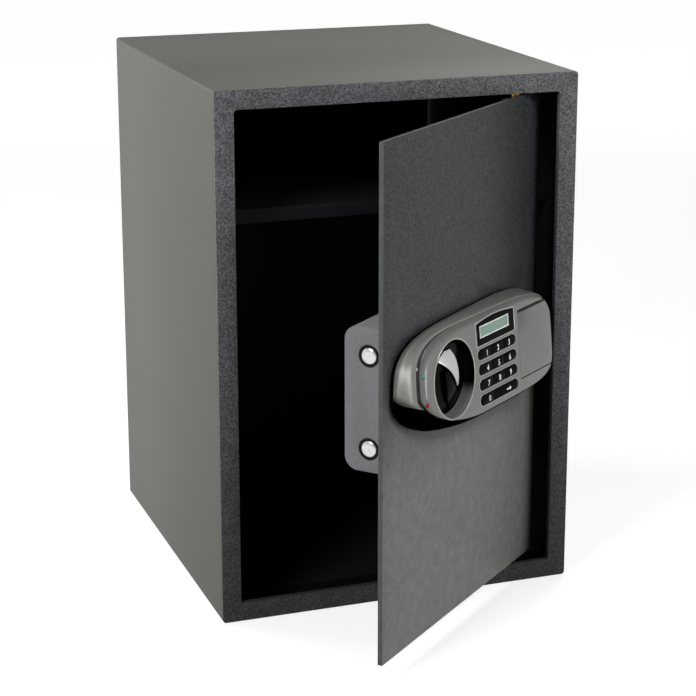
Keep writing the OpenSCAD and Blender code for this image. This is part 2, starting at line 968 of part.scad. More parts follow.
module bowl(grow, z0) {
  translate([knob_s, lock_z, 0])
    rotate_extrude()
      bowl_profile(grow, z0);
}

window_s = keys_s;
window_y0 = lock_z + row_up + row_h / 2 + 3.5;
window_rise = 3;
window_t = 1.5;
lcd_s = window_s + 6.5;
lcd_y0 = window_y0 + 6;
board_z = gasket_t + 5;
board_t = 1.6;
board_s0 = keys_s - 4.5;
board_s1 = keys_s + row_l + 5;
board_y0 = lock_z + row_up - 3 * row_pitch - row_h / 2;
board_y1 = window_y0 + window_h;
boss_at = [for (x = [board_s0 + 1.9, board_s1 - 1.9], y = [board_y0 + 1, window_y0 - 1]) [x, y]];
led_play = 0.1;
led_r = 1.7;
led_at = [[panel_s + 7.5, lock_z - 12], [panel_s + 5, lock_z + 14]];
tray_floor = panel_h - 8;
tray_t = 2;
ring_s = [cover_s - 0.4, house_s1 + 10];
// Height that clears the panel everywhere
over_panel = panel_h + 20;
pillar_top = bowl_floor + 5;

// Window outline: straight sides and sill under a low arch
module window_outline(play) {
  half = window_w / 2 + play;
  arc_r = (half * half + window_rise * window_rise) / (2 * window_rise);
  translate([window_s + window_w / 2, window_y0]) {
    translate([-half, -play])
      square([2 * half, window_h + 2 * play]);
    intersection() {
      translate([0, window_h + play + window_rise - arc_r])
        circle(arc_r, $fn = 256);
      translate([-half, window_h / 2])
        square([2 * half, window_h]);
    }
  }
}

module row_outline(y, play) {
  r = row_h / 2 + play;
  translate([keys_s + row_h / 2, y - r])
    square([row_l - row_h, 2 * r]);
  for (x = [keys_s + row_h / 2, keys_s + row_l - row_h / 2])
    translate([x, y])
      circle(r);
}

function row_y(row) = lock_z + row_up - row * row_pitch;

module housing_walls() {
  difference() {
    dome(0);
    translate([0, 0, -0.1])
      dome(house_t);
  }
  intersection() {
    dome(0);
    union() {
      bowl(house_t, bowl_floor - 2);
      slab(cover_s - tray_t - 0.6, ring_s[1], house_y - cover_b - cover_groove - tray_t,
           house_y + cover_b + cover_groove + tray_t, tray_floor - tray_t, over_panel);
      at_housing_screws()
        rod(0, 0, gasket_t, pillar_top, post_r);
      for (p = [screws_at[2], screws_at[3]])
        rod(p[0], lock_z + p[1], gasket_t, tray_floor, post_r);
      for (p = boss_at)
        rod(p[0], p[1], board_z + board_t, over_panel, 1.8);
    }
  }
}

module lock_housing() {
  color("#84847f")
    on_door()
      difference() {
        housing_walls();
        bowl(0, bowl_floor);
        rod(knob_s, lock_z, 0, panel_h, hub_r + 0.5);
        intersection() {
          linear_extrude(over_panel)
            window_outline(0.2);
          layer(-window_t, window_t);
        }
        slab(lcd_s - 0.3, lcd_s + lcd_w + 0.3, lcd_y0 - 0.3, lcd_y0 + lcd_h + 0.3,
             board_z, over_panel);
        for (row = [0:3])
          translate([0, 0, board_z + board_t])
            linear_extrude(over_panel)
              row_outline(row_y(row), key_gap / 2);
        slab(ring_s[0], ring_s[1], house_y - cover_b - cover_groove,
             house_y + cover_b + cover_groove, tray_floor, over_panel);
        rod(barrel_at[0], barrel_at[1], gasket_t, tray_floor + cut, barrel_r + 0.3);
        at_housing_screws()
          rod(0, 0, 0, pillar_top - 1, screw_r + fit);
        for (p = led_at)
          rod(p[0], p[1], 0, over_panel, led_r + led_play);
      }
}

module housing_screws() {
  color("#c9c9c6")
    on_door()
      at_housing_screws() {
        rod(0, 0, -door_t - 2, -door_t, 3);
        rod(0, 0, -door_t - 1, pillar_top - 2, screw_r);
      }
}

module circuit_board() {
  color("#2f6b3f")
    on_door()
      slab(board_s0, board_s1, board_y0, board_y1, board_z, board_z + board_t);
}

switch_top = board_z + board_t + 1.5;

module key_switches() {
  color("#c8c8c4")
    on_door()
      for (k = KEYS)
        rod(key_mid(k), row_y(k[1]), board_z + board_t, switch_top, 2.5);
}

// Lead from the circuit board through the door plate to the battery holder
module control_cable() {
  r = 2;
  bend_r = 5;
  z0 = -door_t - 3 - bend_r;
  color("#151516")
    on_door() {
      rod(cable_at[0], cable_at[1], z0 + bend_r, board_z, r);
      translate([cable_at[0] + bend_r, cable_at[1], z0 + bend_r])
        rotate([90, 180, 0])
          rotate_extrude(angle = 90)
            translate([bend_r, 0])
              circle(r);
      translate([cable_at[0] + bend_r, cable_at[1], z0])
        rotate([0, 90, 0])
          cylinder(r = r, h = battery_s - cable_at[0] - bend_r);
    }
}

module display_window() {
  color("#060607")
    on_door()
      difference() {
        intersection() {
          linear_extrude(over_panel)
            window_outline(0);
          layer(-window_t, 0);
        }
        slab(lcd_s - 0.2, lcd_s + lcd_w + 0.2, lcd_y0 - 0.2, lcd_y0 + lcd_h + 0.2,
             0, over_panel);
      }
}

module display() {
  color("#a9bdae")
    on_door()
      difference() {
        slab(lcd_s, lcd_s + lcd_w, lcd_y0, lcd_y0 + lcd_h, board_z + board_t, over_panel);
        layer(-0.5, over_panel);
      }
}

module led(p) {
  on_door()
    rod(p[0], p[1], board_z, panel_at(p) + 0.4, led_r);
}

module led_green() color("#4fae86") led(led_at[1]);
module led_red() color("#b3261f") led(led_at[0]);

// Side cover and the emergency lock under it

// Cap that follows the housing's shape, with a skirt down to the tray
module side_cover() {
  skirt = 1.5;
  color("#7f7f7a")
    on_door()
      intersection() {
        difference() {
          dome(0);
          intersection() {
            dome(house_t);
            slab(cover_s + skirt, ring_s[1], house_y - cover_b + skirt, house_y + cover_b - skirt,
                 gasket_t, over_panel);
          }
        }
        slab(cover_s, ring_s[1], house_y - cover_b, house_y + cover_b, tray_floor + free_play,
             over_panel);
      }
}

plug_r = 6;
plug_end = -door_t - 9;
nut_z = -door_t - 5;

module lock_barrel() {
  color("#b9bcbd")
    on_door()
      difference() {
        union() {
          rod(barrel_at[0], barrel_at[1], nut_z - 1, tray_floor + 1, barrel_r);
          rod(barrel_at[0], barrel_at[1], tray_floor, tray_floor + 2, barrel_r + 2);
        }
        rod(barrel_at[0], barrel_at[1], nut_z - 1 - cut, tray_floor + 2 + cut, plug_r + 0.05);
      }
}

module lock_nut() {
  color("#a9acad")
    on_door()
      difference() {
        translate([barrel_at[0], barrel_at[1], nut_z])
          cylinder(r = barrel_r + 3.5, h = -door_t - nut_z, $fn = 6);
        rod(barrel_at[0], barrel_at[1], nut_z - cut, 0, barrel_r + fit);
      }
}

module lock_plug() {
  face = tray_floor + 2.5;
  color("#c9c9c6")
    on_door()
      difference() {
        rod(barrel_at[0], barrel_at[1], plug_end, face, plug_r);
        slab(barrel_at[0] - 0.8, barrel_at[0] + 0.8, barrel_at[1] - 4, barrel_at[1] + 4,
             face - 6, face + cut);
      }
}

module lock_cam() {
  color("#a9acad")
    on_door()
      translate([barrel_at[0], barrel_at[1], plug_end - 2]) {
        cylinder(r = plug_r + 1, h = 2);
        slab(-4, 4, 0, 14, 0, 2);
      }
}

// Keys

// Each key: name, row, first column, columns it spans
KEYS = [
  ["key_1", 0, 0, 1], ["key_2", 0, 1, 1], ["key_3", 0, 2, 1],
  ["key_4", 1, 0, 1], ["key_5", 1, 1, 1], ["key_6", 1, 2, 1],
  ["key_7", 2, 0, 1], ["key_8", 2, 1, 1], ["key_9", 2, 2, 1],
  ["key_0", 3, 0, 1], ["key_enter", 3, 1, 2]
];
key_pitch = row_l / 3;
flange_t = 1.5;
flange_out = 0.8;

function key_x0(k) = keys_s + k[2] * key_pitch;
function key_x1(k) = key_x0(k) + k[3] * key_pitch;
function key_mid(k) = (key_x0(k) + key_x1(k)) / 2;

// Cap cut out of its row, a flange under the panel and a stem over its switch
module key(k) {
  y = row_y(k[1]);
  under = -house_t - free_play;
  mid = [key_mid(k), y];
  first = k[2] == 0;
  last = k[2] + k[3] == 3;
  x0 = key_x0(k) + (first ? -flange_out : key_gap);
  x1 = key_x1(k) - (last ? -flange_out : key_gap);
  color("#0c0c0d")
    on_door() {
      intersection() {
        linear_extrude(over_panel)
          intersection() {
            row_outline(y, -key_gap);
            translate([x0, y - row_h])
              square([x1 - x0, 2 * row_h]);
          }
        layer(under - flange_t, key_proud);
      }
      intersection() {
        slab(x0, x1, y - row_h / 2 - flange_out, y + row_h / 2 + flange_out, 0, over_panel);
        layer(under - flange_t, under);
      }
      rod(mid[0], mid[1], switch_top + key_travel + 0.2, panel_at(mid) + under - 0.5, 2.5);
    }
}

cabinet_shell();
back_panel();
front_frame();
floor_mat();
shelf_supports();
shelf();
hinge_lugs();
hinge_bushes();
hinge_blocks();
hinge_pins();
door_plate();
lock_case();
case_posts();
case_screws();
bolt_bushes();
guide_posts();
bolt_plate();
bolt_upper();
bolt_lower();
solenoid();
solenoid_bracket();
solenoid_plunger();
battery_holder();
batteries();
battery_cover();
reset_switch();
reset_button();
spindle_bush();
spindle();
spindle_nut();
drive_lever();
knob();
knob_inlay();
base_gasket();
lock_housing();
housing_screws();
circuit_board();
key_switches();
control_cable();
display_window();
display();
led_green();
led_red();
side_cover();
lock_barrel();
lock_nut();
lock_plug();
lock_cam();
key(KEYS[0]);  // key_1
key(KEYS[1]);  // key_2
key(KEYS[2]);  // key_3
key(KEYS[3]);  // key_4
key(KEYS[4]);  // key_5
key(KEYS[5]);  // key_6
key(KEYS[6]);  // key_7
key(KEYS[7]);  // key_8
key(KEYS[8]);  // key_9
key(KEYS[9]);  // key_0
key(KEYS[10]);  // key_enter
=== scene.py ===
"""Furniture safe with an electronic lock, its door ajar, dressed round its CAD model.

Pieces on the door are built in door millimetres: s from the free edge to the hinge,
v up from the underside of the cabinet, h out of the door's outer face.
"""
import json
import math

import bmesh
import bpy
from bpy.props import FloatProperty, FloatVectorProperty, PointerProperty
from bpy.types import Operator, Panel, PropertyGroup
from mathutils import Matrix, Vector


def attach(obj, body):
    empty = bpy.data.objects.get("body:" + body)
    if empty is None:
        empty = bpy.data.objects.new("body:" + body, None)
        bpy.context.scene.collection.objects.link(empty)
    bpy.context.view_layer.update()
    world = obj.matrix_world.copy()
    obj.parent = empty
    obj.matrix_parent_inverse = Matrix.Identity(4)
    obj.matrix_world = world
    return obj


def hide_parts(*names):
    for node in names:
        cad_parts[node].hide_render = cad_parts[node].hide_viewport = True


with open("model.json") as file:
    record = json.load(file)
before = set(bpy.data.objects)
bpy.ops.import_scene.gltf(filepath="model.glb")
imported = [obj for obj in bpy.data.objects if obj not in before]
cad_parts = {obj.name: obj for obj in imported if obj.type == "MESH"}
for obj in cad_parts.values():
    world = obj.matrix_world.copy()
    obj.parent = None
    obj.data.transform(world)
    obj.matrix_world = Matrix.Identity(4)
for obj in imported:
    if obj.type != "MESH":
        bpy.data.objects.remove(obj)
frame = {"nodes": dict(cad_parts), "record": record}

bl_info = {
    "name": "Furniture Safe",
    "version": (1, 0, 0),
    "blender": (4, 5, 0),
    "location": "View3D > Sidebar > Safe",
    "description": "Builds the visible pieces of a furniture safe round its CAD model",
    "category": "Object",
}

MM = 0.001
UP = Vector((0, 0, 1))
JOINTS = {joint["name"]: joint for joint in frame["record"]["behaviour"]["joints"]}
OUTWARD = Vector(JOINTS["knob_turn"]["axis"]).normalized()
TO_HINGE = UP.cross(OUTWARD)
# The hinge axis in the world, and in door millimetres: from the free edge and behind the face
PIVOT = Vector(JOINTS["door_swing"]["pos_m"])
PIVOT_S = 270
PIVOT_DEEP = 9
# Turns door millimetres into world metres
DOOR_ORIGIN = Vector((PIVOT.x, PIVOT.y, 0)) - TO_HINGE * PIVOT_S * MM + OUTWARD * PIVOT_DEEP * MM
DOOR = Matrix.Translation(DOOR_ORIGIN) @ Matrix.Scale(MM, 4) @ Matrix(
    (TO_HINGE, UP, OUTWARD)).transposed().to_4x4()

KEY_NODES = tuple("key_%s" % name for name in "1 2 3 4 5 6 7 8 9 0 enter".split())
SLOT_OF = {part["node"]: part["material_slot"] for part in frame["record"]["subparts"]}

# Where the tilted panel has its middle height, and the housing's middle above the knob's
TILT_S = 170
HOUSING_UP = 0.5
# Points in each ring of the housing, and how far from their left ends rim and panel reach
# their full height and pass from the nose's curve to the tail's
RING_STEPS = 180
RIM_TURN = 118
PANEL_TURN = 104
# The panel's rounded edge: how far in and how deep, how much further in on the ridge, and
# the ridge's direction round the ring
EDGE_IN = 3.0
EDGE_DROP = 2.4
RIDGE_IN = 7
RIDGE_AT = math.radians(130)
# Places of the rings: from rim to panel, and from the panel's edge inwards
SHOULDER_PARTS = (0.0, 0.01, 0.03, 0.07, 0.13, 0.2, 0.3, 0.4, 0.5, 0.6, 0.7, 0.8, 0.88, 0.94,
                  0.98, 1.0)
EDGE_PARTS = (0.0, 0.05, 0.12, 0.2, 0.3, 0.4, 0.52, 0.66, 0.82, 1.0)
# The bowl and its liner: how far past the knob's radius and over the bowl's floor
LINER_GAP = 0.15
BOWL_POINTS = ((-2, 0), (0.6, 1.2), (1.8, 4))
LINER_POINTS = ((-2, LINER_GAP), (0.5, 1.2 + LINER_GAP), (1.6, 4))
BOWL_WALL_FROM, BOWL_WALL_TO = 15, 50
# The green and the red lamp, from the panel's left end and over the knob's axis, the radius
# of their holes, and the domes' profile: radius and height over the panel
LAMPS = (5, 14), (7.5, -12)
LAMP_HOLE = 1.8
LAMP_PROFILE = ((0, -8), (1.7, -8), (1.7, -0.2), (1.5, 0.1), (1.0, 0.33), (0.5, 0.4), (0, 0.4))
# How far the tray reaches past the side cover: to the left, below and above
TRAY_LEFT, TRAY_BELOW, TRAY_ABOVE = 0.3, 1, 3
# How far cuts reach: over the panel, over the door, and past the housing's tail
ABOVE_PANEL = 30
ABOVE_DOOR = 60
PAST_TAIL = 5

# From the upper key row to the display window, the rise of its arch, and the display's
# place in it, its size, its border's width, and the border's foot and thickness
WINDOW_GAP = 3.5
ARCH_RISE = 3
DISPLAY_IN = 6.5
DISPLAY_UP = 6
DISPLAY_WIDTH, DISPLAY_HEIGHT = 53, 11
DISPLAY_LINE = 1.0
DISPLAY_FOOT, DISPLAY_THICK = -0.5, 0.55

# Print on the keys: place of the first number along its row, from there to the arrow, drop
# below the row's middle, gap over the cap, thickness and height of a number
NUMBER_IN = 15.5
ARROW_ON = 15
PRINT_DROP = 0.6
PRINT_GAP = 0.04
PRINT_THICK = 0.12
NUMBER_SIZE = 7.2
ARROW = ((-4.2, -0.7), (1.2, -0.7), (1.2, -2.1), (4.6, 0), (1.2, 2.1), (1.2, 0.7), (-4.2, 0.7))

# Two corners of the compartment's inside, painted near-black as shade, and of the floor
# under the cabinet, painted dark as its shadow
INSIDE_SHADE = (-172.8, -182, 2.2), (172.8, 182.8, 497.8)
UNDER_SHADOW = (-172, -180, -10), (172, 182, 10)

# The floor: reach in metres, depth under the cabinet in millimetres, and its glow by the
# distance in metres; and what reflections see of the surround, by how far up they look
FLOOR_REACH = 6
FLOOR_DOWN = 0.5
FLOOR_GLOW = {"From Min": 0.4, "From Max": 2.6, "To Min": 0.66, "To Max": 0.97}
HORIZON = {"From Min": 0.05, "From Max": 0.3, "To Min": 1.0, "To Max": 0.12}

# Softboxes: name, place, target and size in metres
SOFTBOXES = (
    ("key", (-1.2, -1.05, 1.3), (0, -0.2, 0.25), (0.5, 0.5)),
    ("rear", (-1.2, 0.9, 0.9), (0, 0, 0.25), (0.6, 0.6)),
    ("top", (0.6, 0.5, 1.3), (0, 0, 0.4), (0.6, 0.6)),
    ("side", (-1.9, 0.3, 1.2), (0, 0, 0.25), (1.2, 1.2)),
    ("front", (0.3, -1.3, 1.6), (0, -0.2, 0.25), (0.6, 0.6)),
    ("right", (3.25, -1.45, 0.75), (0, -0.3, 0.27), (1.5, 1.2)),
    ("corner", (0.57, -0.8, 0.92), (0.05, -0.25, 0.4), (0.3, 0.3)),
    ("nose", (1.02, -0.73, 0.13), (-0.08, -0.33, 0.26), (0.25, 0.2)),
)

# Sockets of a Mix node that mixes colours
MIX_FACTOR, MIX_FIRST, MIX_SECOND, MIX_RESULT = 0, 6, 7, 2


# Sizes and colours

def linear(code):
    """Turns an sRGB hex colour such as 7a7b77 into a linear RGBA."""
    values = [int(code[i:i + 2], 16) / 255 for i in (0, 2, 4)]
    return tuple(v / 12.92 if v <= 0.04045 else ((v + 0.055) / 1.055) ** 2.4
                 for v in values) + (1,)


def colour(name, description, code):
    """A colour property with an sRGB hex default."""
    return FloatVectorProperty(name=name, description=description, size=4, min=0, max=1,
                               subtype="COLOR", default=linear(code))


def size_property(name, description, default):
    """A property for one of the lock's sizes or shares."""
    return FloatProperty(name=name, description=description, default=default)


def power_property(name, description, default):
    """A property for the power of a softbox."""
    return FloatProperty(name=name, description=description, default=default, unit="POWER")


class SafeColours(PropertyGroup):
    """Colours of the visible finishes"""

    cabinet: colour("Cabinet", "Powder coat of the cabinet", "5d5d59")
    # Painted shade: the near-black of the compartment's inner faces
    inside: colour("Inside", "Coat of the compartment", "060708")
    frame: colour("Frame", "Hammer coat of the front frame", "57575a")
    # Painted shade: the frame's coat darkens towards its foot
    frame_foot_painted_shade: colour("Frame foot", "Coat towards the foot of the front frame", "38383a")
    door: colour("Door", "Hammer coat of the door leaf", "343537")
    # Painted sheen: the leaf's coat lightens towards its foot
    door_foot_painted_sheen: colour("Door foot", "Coat towards the foot of the door leaf", "7a7a77")
    # Painted highlight: the leaf's free edge is lighter, standing for light from the left
    door_edge_painted_light: colour("Door edge", "Coat on the leaf's free edge", "555757")
    case: colour("Lock case", "Powder coat of the lock case", "707173")
    housing: colour("Lock housing", "Lacquer of the lock housing", "757672")
    # Painted shade: this near-black stands for the shade on the housing's underside
    painted_underside_shade: colour("Bare plastic", "Unlacquered plastic of the housing", "020202")
    lips: colour("Lips", "Polished lips round the openings", "9c9d9a")
    # Painted highlight: the lips are lighter than the lacquer to stand for bright edge lines
    knob: colour("Knob", "Gloss plastic of the knob", "030304")
    pointer: colour("Pointer", "Bright lacquer of the pointer", "b9bbba")
    keys: colour("Keys", "Rubber of the key caps", "030303")
    numbers: colour("Numbers", "Print on the keys", "f0f1f0")
    window: colour("Window", "Acrylic round the display", "020202")
    display: colour("Display", "Liquid crystal cell", "8fa99b")
    bolts: colour("Bolts", "Turned steel of the bolts", "c8cbca")
    floor_mat: colour("Floor mat", "Felt on the cabinet's floor", "101011")


class LockSizes(PropertyGroup):
    """Sizes of the lock on the door's outer face, in door millimetres"""

    middle: size_property("Middle", "Height of the knob's axis", 256)
    nose_s: size_property("Nose", "Place of the housing's nose", 13)
    tail_s: size_property("Tail", "Place of the housing's tail", 286)
    tail_power: size_property("Tail power", "How square the upper tail is", 4)
    heel_power: size_property("Heel power", "How square the lower tail is", 6)
    nose_power: size_property("Nose power", "How full the upper nose is", 3.6)
    chin_power: size_property("Chin power", "How full the lower nose is", 1.9)
    half_height: size_property("Half height", "Half height of the housing", 50)
    panel_s: size_property("Panel left", "Place of the panel's left end", 46)
    panel_end: size_property("Panel right", "Place of the panel's right end", 283.5)
    panel_half: size_property("Panel half height", "Half height of the panel", 45)
    panel_height: size_property("Panel height", "Height of the panel's middle above the door", 22)
    rise_s: size_property("Rise to the hinge", "Panel rise per millimetre", 0.06)
    rise_v: size_property("Rise upwards", "Panel rise per millimetre", -0.09)
    gasket: size_property("Gasket", "Thickness of the base gasket", 3)
    rim: size_property("Rim", "Height of the housing's upright rim", 6.4)
    swell: size_property("Nose swell", "How far the nose bulges", 6)
    crease: size_property("Crease", "Depth of the crease behind the nose", 4.5)
    knob_s: size_property("Knob", "Place of the knob's axis", 99)
    bowl_radius: size_property("Bowl", "Radius of the knob's bowl", 34.5)
    bowl_floor: size_property("Bowl floor", "Height of the bowl's floor", 6)
    knob_radius: size_property("Knob radius", "Radius of the knob", 31)
    keys_s: size_property("Keys", "Place of the key rows' left end", 141)
    row_length: size_property("Row length", "Length of a key row", 69)
    row_height: size_property("Row height", "Height of a key row", 9.5)
    row_pitch: size_property("Row pitch", "Distance between rows", 14)
    row_up: size_property("Upper row", "Upper row above the middle", 10)
    number_pitch: size_property("Number pitch", "Distance between the numbers", 20.4)
    key_proud: size_property("Key height", "Height of a key over the panel", 1)
    window_height: size_property("Window height", "Height of its straight sides", 20)
    cover_s: size_property("Cover", "Place of the side cover's left edge", 218)
    cover_half: size_property("Cover half height", "Half height of the cover", 30.6)
    tray: size_property("Tray", "Height of the tray floor under the cover", 14)


class StageSettings(PropertyGroup):
    """Light, floor and camera"""

    sky: FloatProperty(name="Sky", description="Strength of the even light", default=0.02)
    key_power: power_property("Key light", "Power of the upper left softbox", 25)
    side_power: power_property("Side light", "Power of the far left softbox", 5.3)
    rear_power: power_property("Rear light", "Power of the rear left softbox", 13)
    top_power: power_property("Top light", "Power of the softbox overhead", 7)
    front_power: power_property("Front light", "Power of the upper front softbox", 0.8)
    right_power: power_property("Right light", "Power of the far right softbox", 1.2)
    corner_power: power_property("Corner light", "Power of the upper right softbox", 5.5)
    nose_power: power_property("Nose light", "Power of the low right softbox", 1.3)
    lens: FloatProperty(name="Lens", description="Focal length on a 36 mm sensor",
                        default=103.457, subtype="DISTANCE_CAMERA")
    shift: FloatVectorProperty(name="Shift", description="Shift of the lens, in sensor widths",
                               size=2, default=(-0.0321, -0.0812))
    camera_at: FloatVectorProperty(name="Camera", description="Place of the camera",
                                   default=(-0.63984, -1.84840, 0.77649), unit="LENGTH")
    camera_turn: FloatVectorProperty(name="Camera turn", description="Angles of the camera",
                                     default=(1.311839, -0.001899, -0.351010),
                                     subtype="EULER")


# Materials

def per_mm(size):
    """Scale of a pattern whose features are size millimetres across."""
    return 1 / (size * MM)


def feed(tree, node, inputs):
    """Sets a node's inputs to values, or links them to the sockets they come from."""
    for name, value in inputs.items():
        if isinstance(value, bpy.types.NodeSocket):
            tree.links.new(value, node.inputs[name])
        else:
            node.inputs[name].default_value = value


def add(tree, kind, inputs=(), **settings):
    """Adds a node with its settings and its inputs."""
    node = tree.nodes.new(kind)
    for name, value in settings.items():
        setattr(node, name, value)
    feed(tree, node, dict(inputs))
    return node


def start_material(name):
    """An empty node material; returns it, its tree and its shader."""
    material = bpy.data.materials.new(name)
    material.use_nodes = True
    tree = material.node_tree
    tree.nodes.clear()
    shader = add(tree, "ShaderNodeBsdfPrincipled")
    add(tree, "ShaderNodeOutputMaterial", {"Surface": shader.outputs["BSDF"]})
    return material, tree, shader


def grain(tree, size, detail=2.0, roughness=0.5):
    """Even noise on Object coordinates with features size millimetres across."""
    place = add(tree, "ShaderNodeTexCoord").outputs["Object"]
    return add(tree, "ShaderNodeTexNoise", {
        "Vector": place, "Scale": per_mm(size), "Detail": detail, "Roughness": roughness,
    }).outputs["Fac"]


def shade(tone, factor):
    """A linear colour made lighter or darker."""
    return tuple(min(1, value * factor) for value in tone[:3]) + (1,)


def blend(tree, factor, low, high, start=0.0, end=1.0):
    """Colour ramp over a factor between two linear colours."""
    ramp = add(tree, "ShaderNodeValToRGB", {"Fac": factor})
    ramp.color_ramp.elements[0].position = start
    ramp.color_ramp.elements[0].color = low
    ramp.color_ramp.elements[1].position = end
    ramp.color_ramp.elements[1].color = high
    return ramp.outputs["Color"]


def mottled(tree, pattern, tone, spread, reach=0.15):
    """A colour made darker and lighter by a share of it as a pattern passes its middle."""
    return blend(tree, pattern, shade(tone, 1 - spread), shade(tone, 1 + spread), 0.5 - reach,
                 0.5 + reach)


def mix_tones(tree, factor, first, second, **settings):
    """Mixes two colours, each a value or a socket, and returns the result's socket."""
    return add(tree, "ShaderNodeMix", {
        MIX_FACTOR: factor, MIX_FIRST: first, MIX_SECOND: second,
    }, data_type="RGBA", **settings).outputs[MIX_RESULT]


def joined(tree, operation, first, second):
    """One arithmetic node over two factors."""
    return add(tree, "ShaderNodeMath", {0: first, 1: second}, operation=operation).outputs["Value"]


def relief(tree, pattern, strength, height):
    """Normals of a surface that a pattern raises by a height in millimetres."""
    return add(tree, "ShaderNodeBump", {
        "Height": pattern, "Strength": strength, "Distance": height * MM}).outputs["Normal"]


def plain_material(name, tone, spread, size, rough, metallic=0.0, bump=0.0, shine=0.5):
    """A material with a fine mottle round one colour and a matching relief.

    Spread is how far the mottle goes from the colour, as a share of it. The mottle's size
    and the relief's height are in millimetres.
    """
    material, tree, shader = start_material(name)
    mottle = grain(tree, size)
    feed(tree, shader, {"Base Color": mottled(tree, mottle, tone, spread), "Roughness": rough,
                        "Metallic": metallic, "Specular IOR Level": shine})
    if bump:
        feed(tree, shader, {"Normal": relief(tree, mottle, 0.6, bump)})
    return material


def past_plane(tree, point, direction, start, end):
    """Rises from 0 to 1 as Object coordinates pass a plane, between two distances in mm."""
    place = add(tree, "ShaderNodeTexCoord").outputs["Object"]
    along = add(tree, "ShaderNodeVectorMath", {0: place, 1: tuple(direction)},
                operation="DOT_PRODUCT").outputs["Value"]
    offset = Vector(direction).dot(point)
    return add(tree, "ShaderNodeMapRange", {
        "Value": along, "From Min": offset + start * MM, "From Max": offset + end * MM,
    }, interpolation_type="SMOOTHSTEP").outputs["Result"]


def in_box(tree, low, high):
    """1 where Object coordinates lie between two corners, in millimetres, otherwise 0."""
    place = add(tree, "ShaderNodeTexCoord").outputs["Object"]
    axes = add(tree, "ShaderNodeSeparateXYZ", {"Vector": place}).outputs
    inside = 1.0
    for axis, lowest, highest in zip("XYZ", low, high):
        near = add(tree, "ShaderNodeMath", {
            0: axes[axis], 1: (lowest + highest) / 2 * MM, 2: (highest - lowest) / 2 * MM,
        }, operation="COMPARE").outputs["Value"]
        inside = joined(tree, "MULTIPLY", inside, near)
    return inside


def smooth_powder_coat():
    """Satin polyester powder on the wrapped sheet, with the inner faces painted black as shade.

    It gives the eye an even warm grey with the faint ripple of baked powder, and an
    inside so dark with painted shade that the compartment reads as a void.
    """
    colours = bpy.context.scene.safe_colours
    material, tree, shader = start_material("satin_powder_coat")
    ripple = grain(tree, 2.5, detail=1.0)
    coat = mottled(tree, ripple, colours.cabinet, 0.05, 0.2)
    feed(tree, shader, {
        "Base Color": mix_tones(tree, in_box(tree, *INSIDE_SHADE), coat, colours.inside),
        "Roughness": 0.55, "Specular IOR Level": 0.15,
        "Normal": relief(tree, ripple, 0.25, 0.05)})
    return material


def speckled_powder_coat(name, tone, size, foot, foot_from, foot_to, foot_spread, edge=None):
    """Fine hammer-texture powder on the frame and the door leaf.

    It gives the eye a dark grey broken by lighter and darker grains about a millimetre
    across, which is drawn a little coarser than life so that it shows. Between two heights
    in millimetres the coat turns into the foot tone: darker on the frame as painted shade,
    and lighter and smoother on the leaf as a painted sheen. The leaf's free edge has a
    lighter tone of its own, a painted highlight.
    """
    material, tree, shader = start_material(name)
    speck = grain(tree, size, detail=1.5, roughness=0.6)
    upper = mottled(tree, speck, tone, 0.6, 0.17)
    lower = mottled(tree, speck, foot, foot_spread, 0.17)
    # Painted shade on the frame and painted sheen on the leaf: below a height the coat turns into
    # the foot tone
    toward_painted_foot = past_plane(tree, UP * foot_from * MM, -UP, 0, foot_from - foot_to)
    coat = mix_tones(tree, toward_painted_foot, upper, lower)
    # Painted highlight on the leaf's free edge
    if edge:
        on_painted_edge = past_plane(tree, door_point(0.8, 0, 0), -TO_HINGE, 0, 0.5)
        coat = mix_tones(tree, on_painted_edge, coat, edge)
    broad = blend(tree, grain(tree, 9), linear("c8c8c8"), linear("ffffff"), 0.3, 0.7)
    feed(tree, shader, {
        "Base Color": mix_tones(tree, 0.5, coat, broad, blend_type="MULTIPLY"),
        "Roughness": 0.42, "Specular IOR Level": 0.15,
        "Normal": relief(tree, speck, 0.3, 0.08)})
    return material


def door_point(s, v, h):
    """A point in door millimetres as world metres."""
    return DOOR @ Vector((s, v, h))


def shade_partings():
    """Planes, as points and directions, past which the housing's flank is painted black as shade."""
    sizes = lock()
    return (((sizes.nose_s, sizes.middle + 0.5, 0), Vector((-0.65, -1, 0)).normalized()),
            ((sizes.panel_s, sizes.middle - 14, 0), Vector((-0.38, -1, 0)).normalized()),
            ((0, sizes.middle - 40, 0), Vector((0, -1, 0))))


def silver_lacquer(tree):
    """Colour of the housing's lacquer, with the faint sparkle of its metal flakes."""
    tone = bpy.context.scene.safe_colours.housing
    return mottled(tree, grain(tree, 0.6, detail=1.0), tone, 0.06)


def lacquered_abs():
    """Moulded ABS with a silver-grey lacquer, its nose's underside painted black as shade.

    It gives the eye a fine metallic grey with a soft gloss, turning into painted shade
    at the parting.
    """
    material, tree, shader = start_material("silver_lacquered_abs")
    nose_point, nose_way = shade_partings()[0]
    way = TO_HINGE * nose_way.x + UP * nose_way.y
    # Painted shade: below the nose's parting and left of the panel the lacquer turns black
    thin = past_plane(tree, door_point(*nose_point), way, -7, 0)
    left = past_plane(tree, door_point(lock().panel_s, 0, 0), -TO_HINGE, 0, 2)
    painted_shade = joined(tree, "MULTIPLY", thin, left)
    painted_underside_shade = bpy.context.scene.safe_colours.painted_underside_shade
    metallic = add(tree, "ShaderNodeMapRange", {"Value": painted_shade, "To Min": 0.3, "To Max": 0.0})
    feed(tree, shader, {
        "Base Color": mix_tones(tree, painted_shade, silver_lacquer(tree), painted_underside_shade), "Roughness": 0.25,
        "Metallic": metallic.outputs["Result"], "Specular IOR Level": 0.3})
    return material


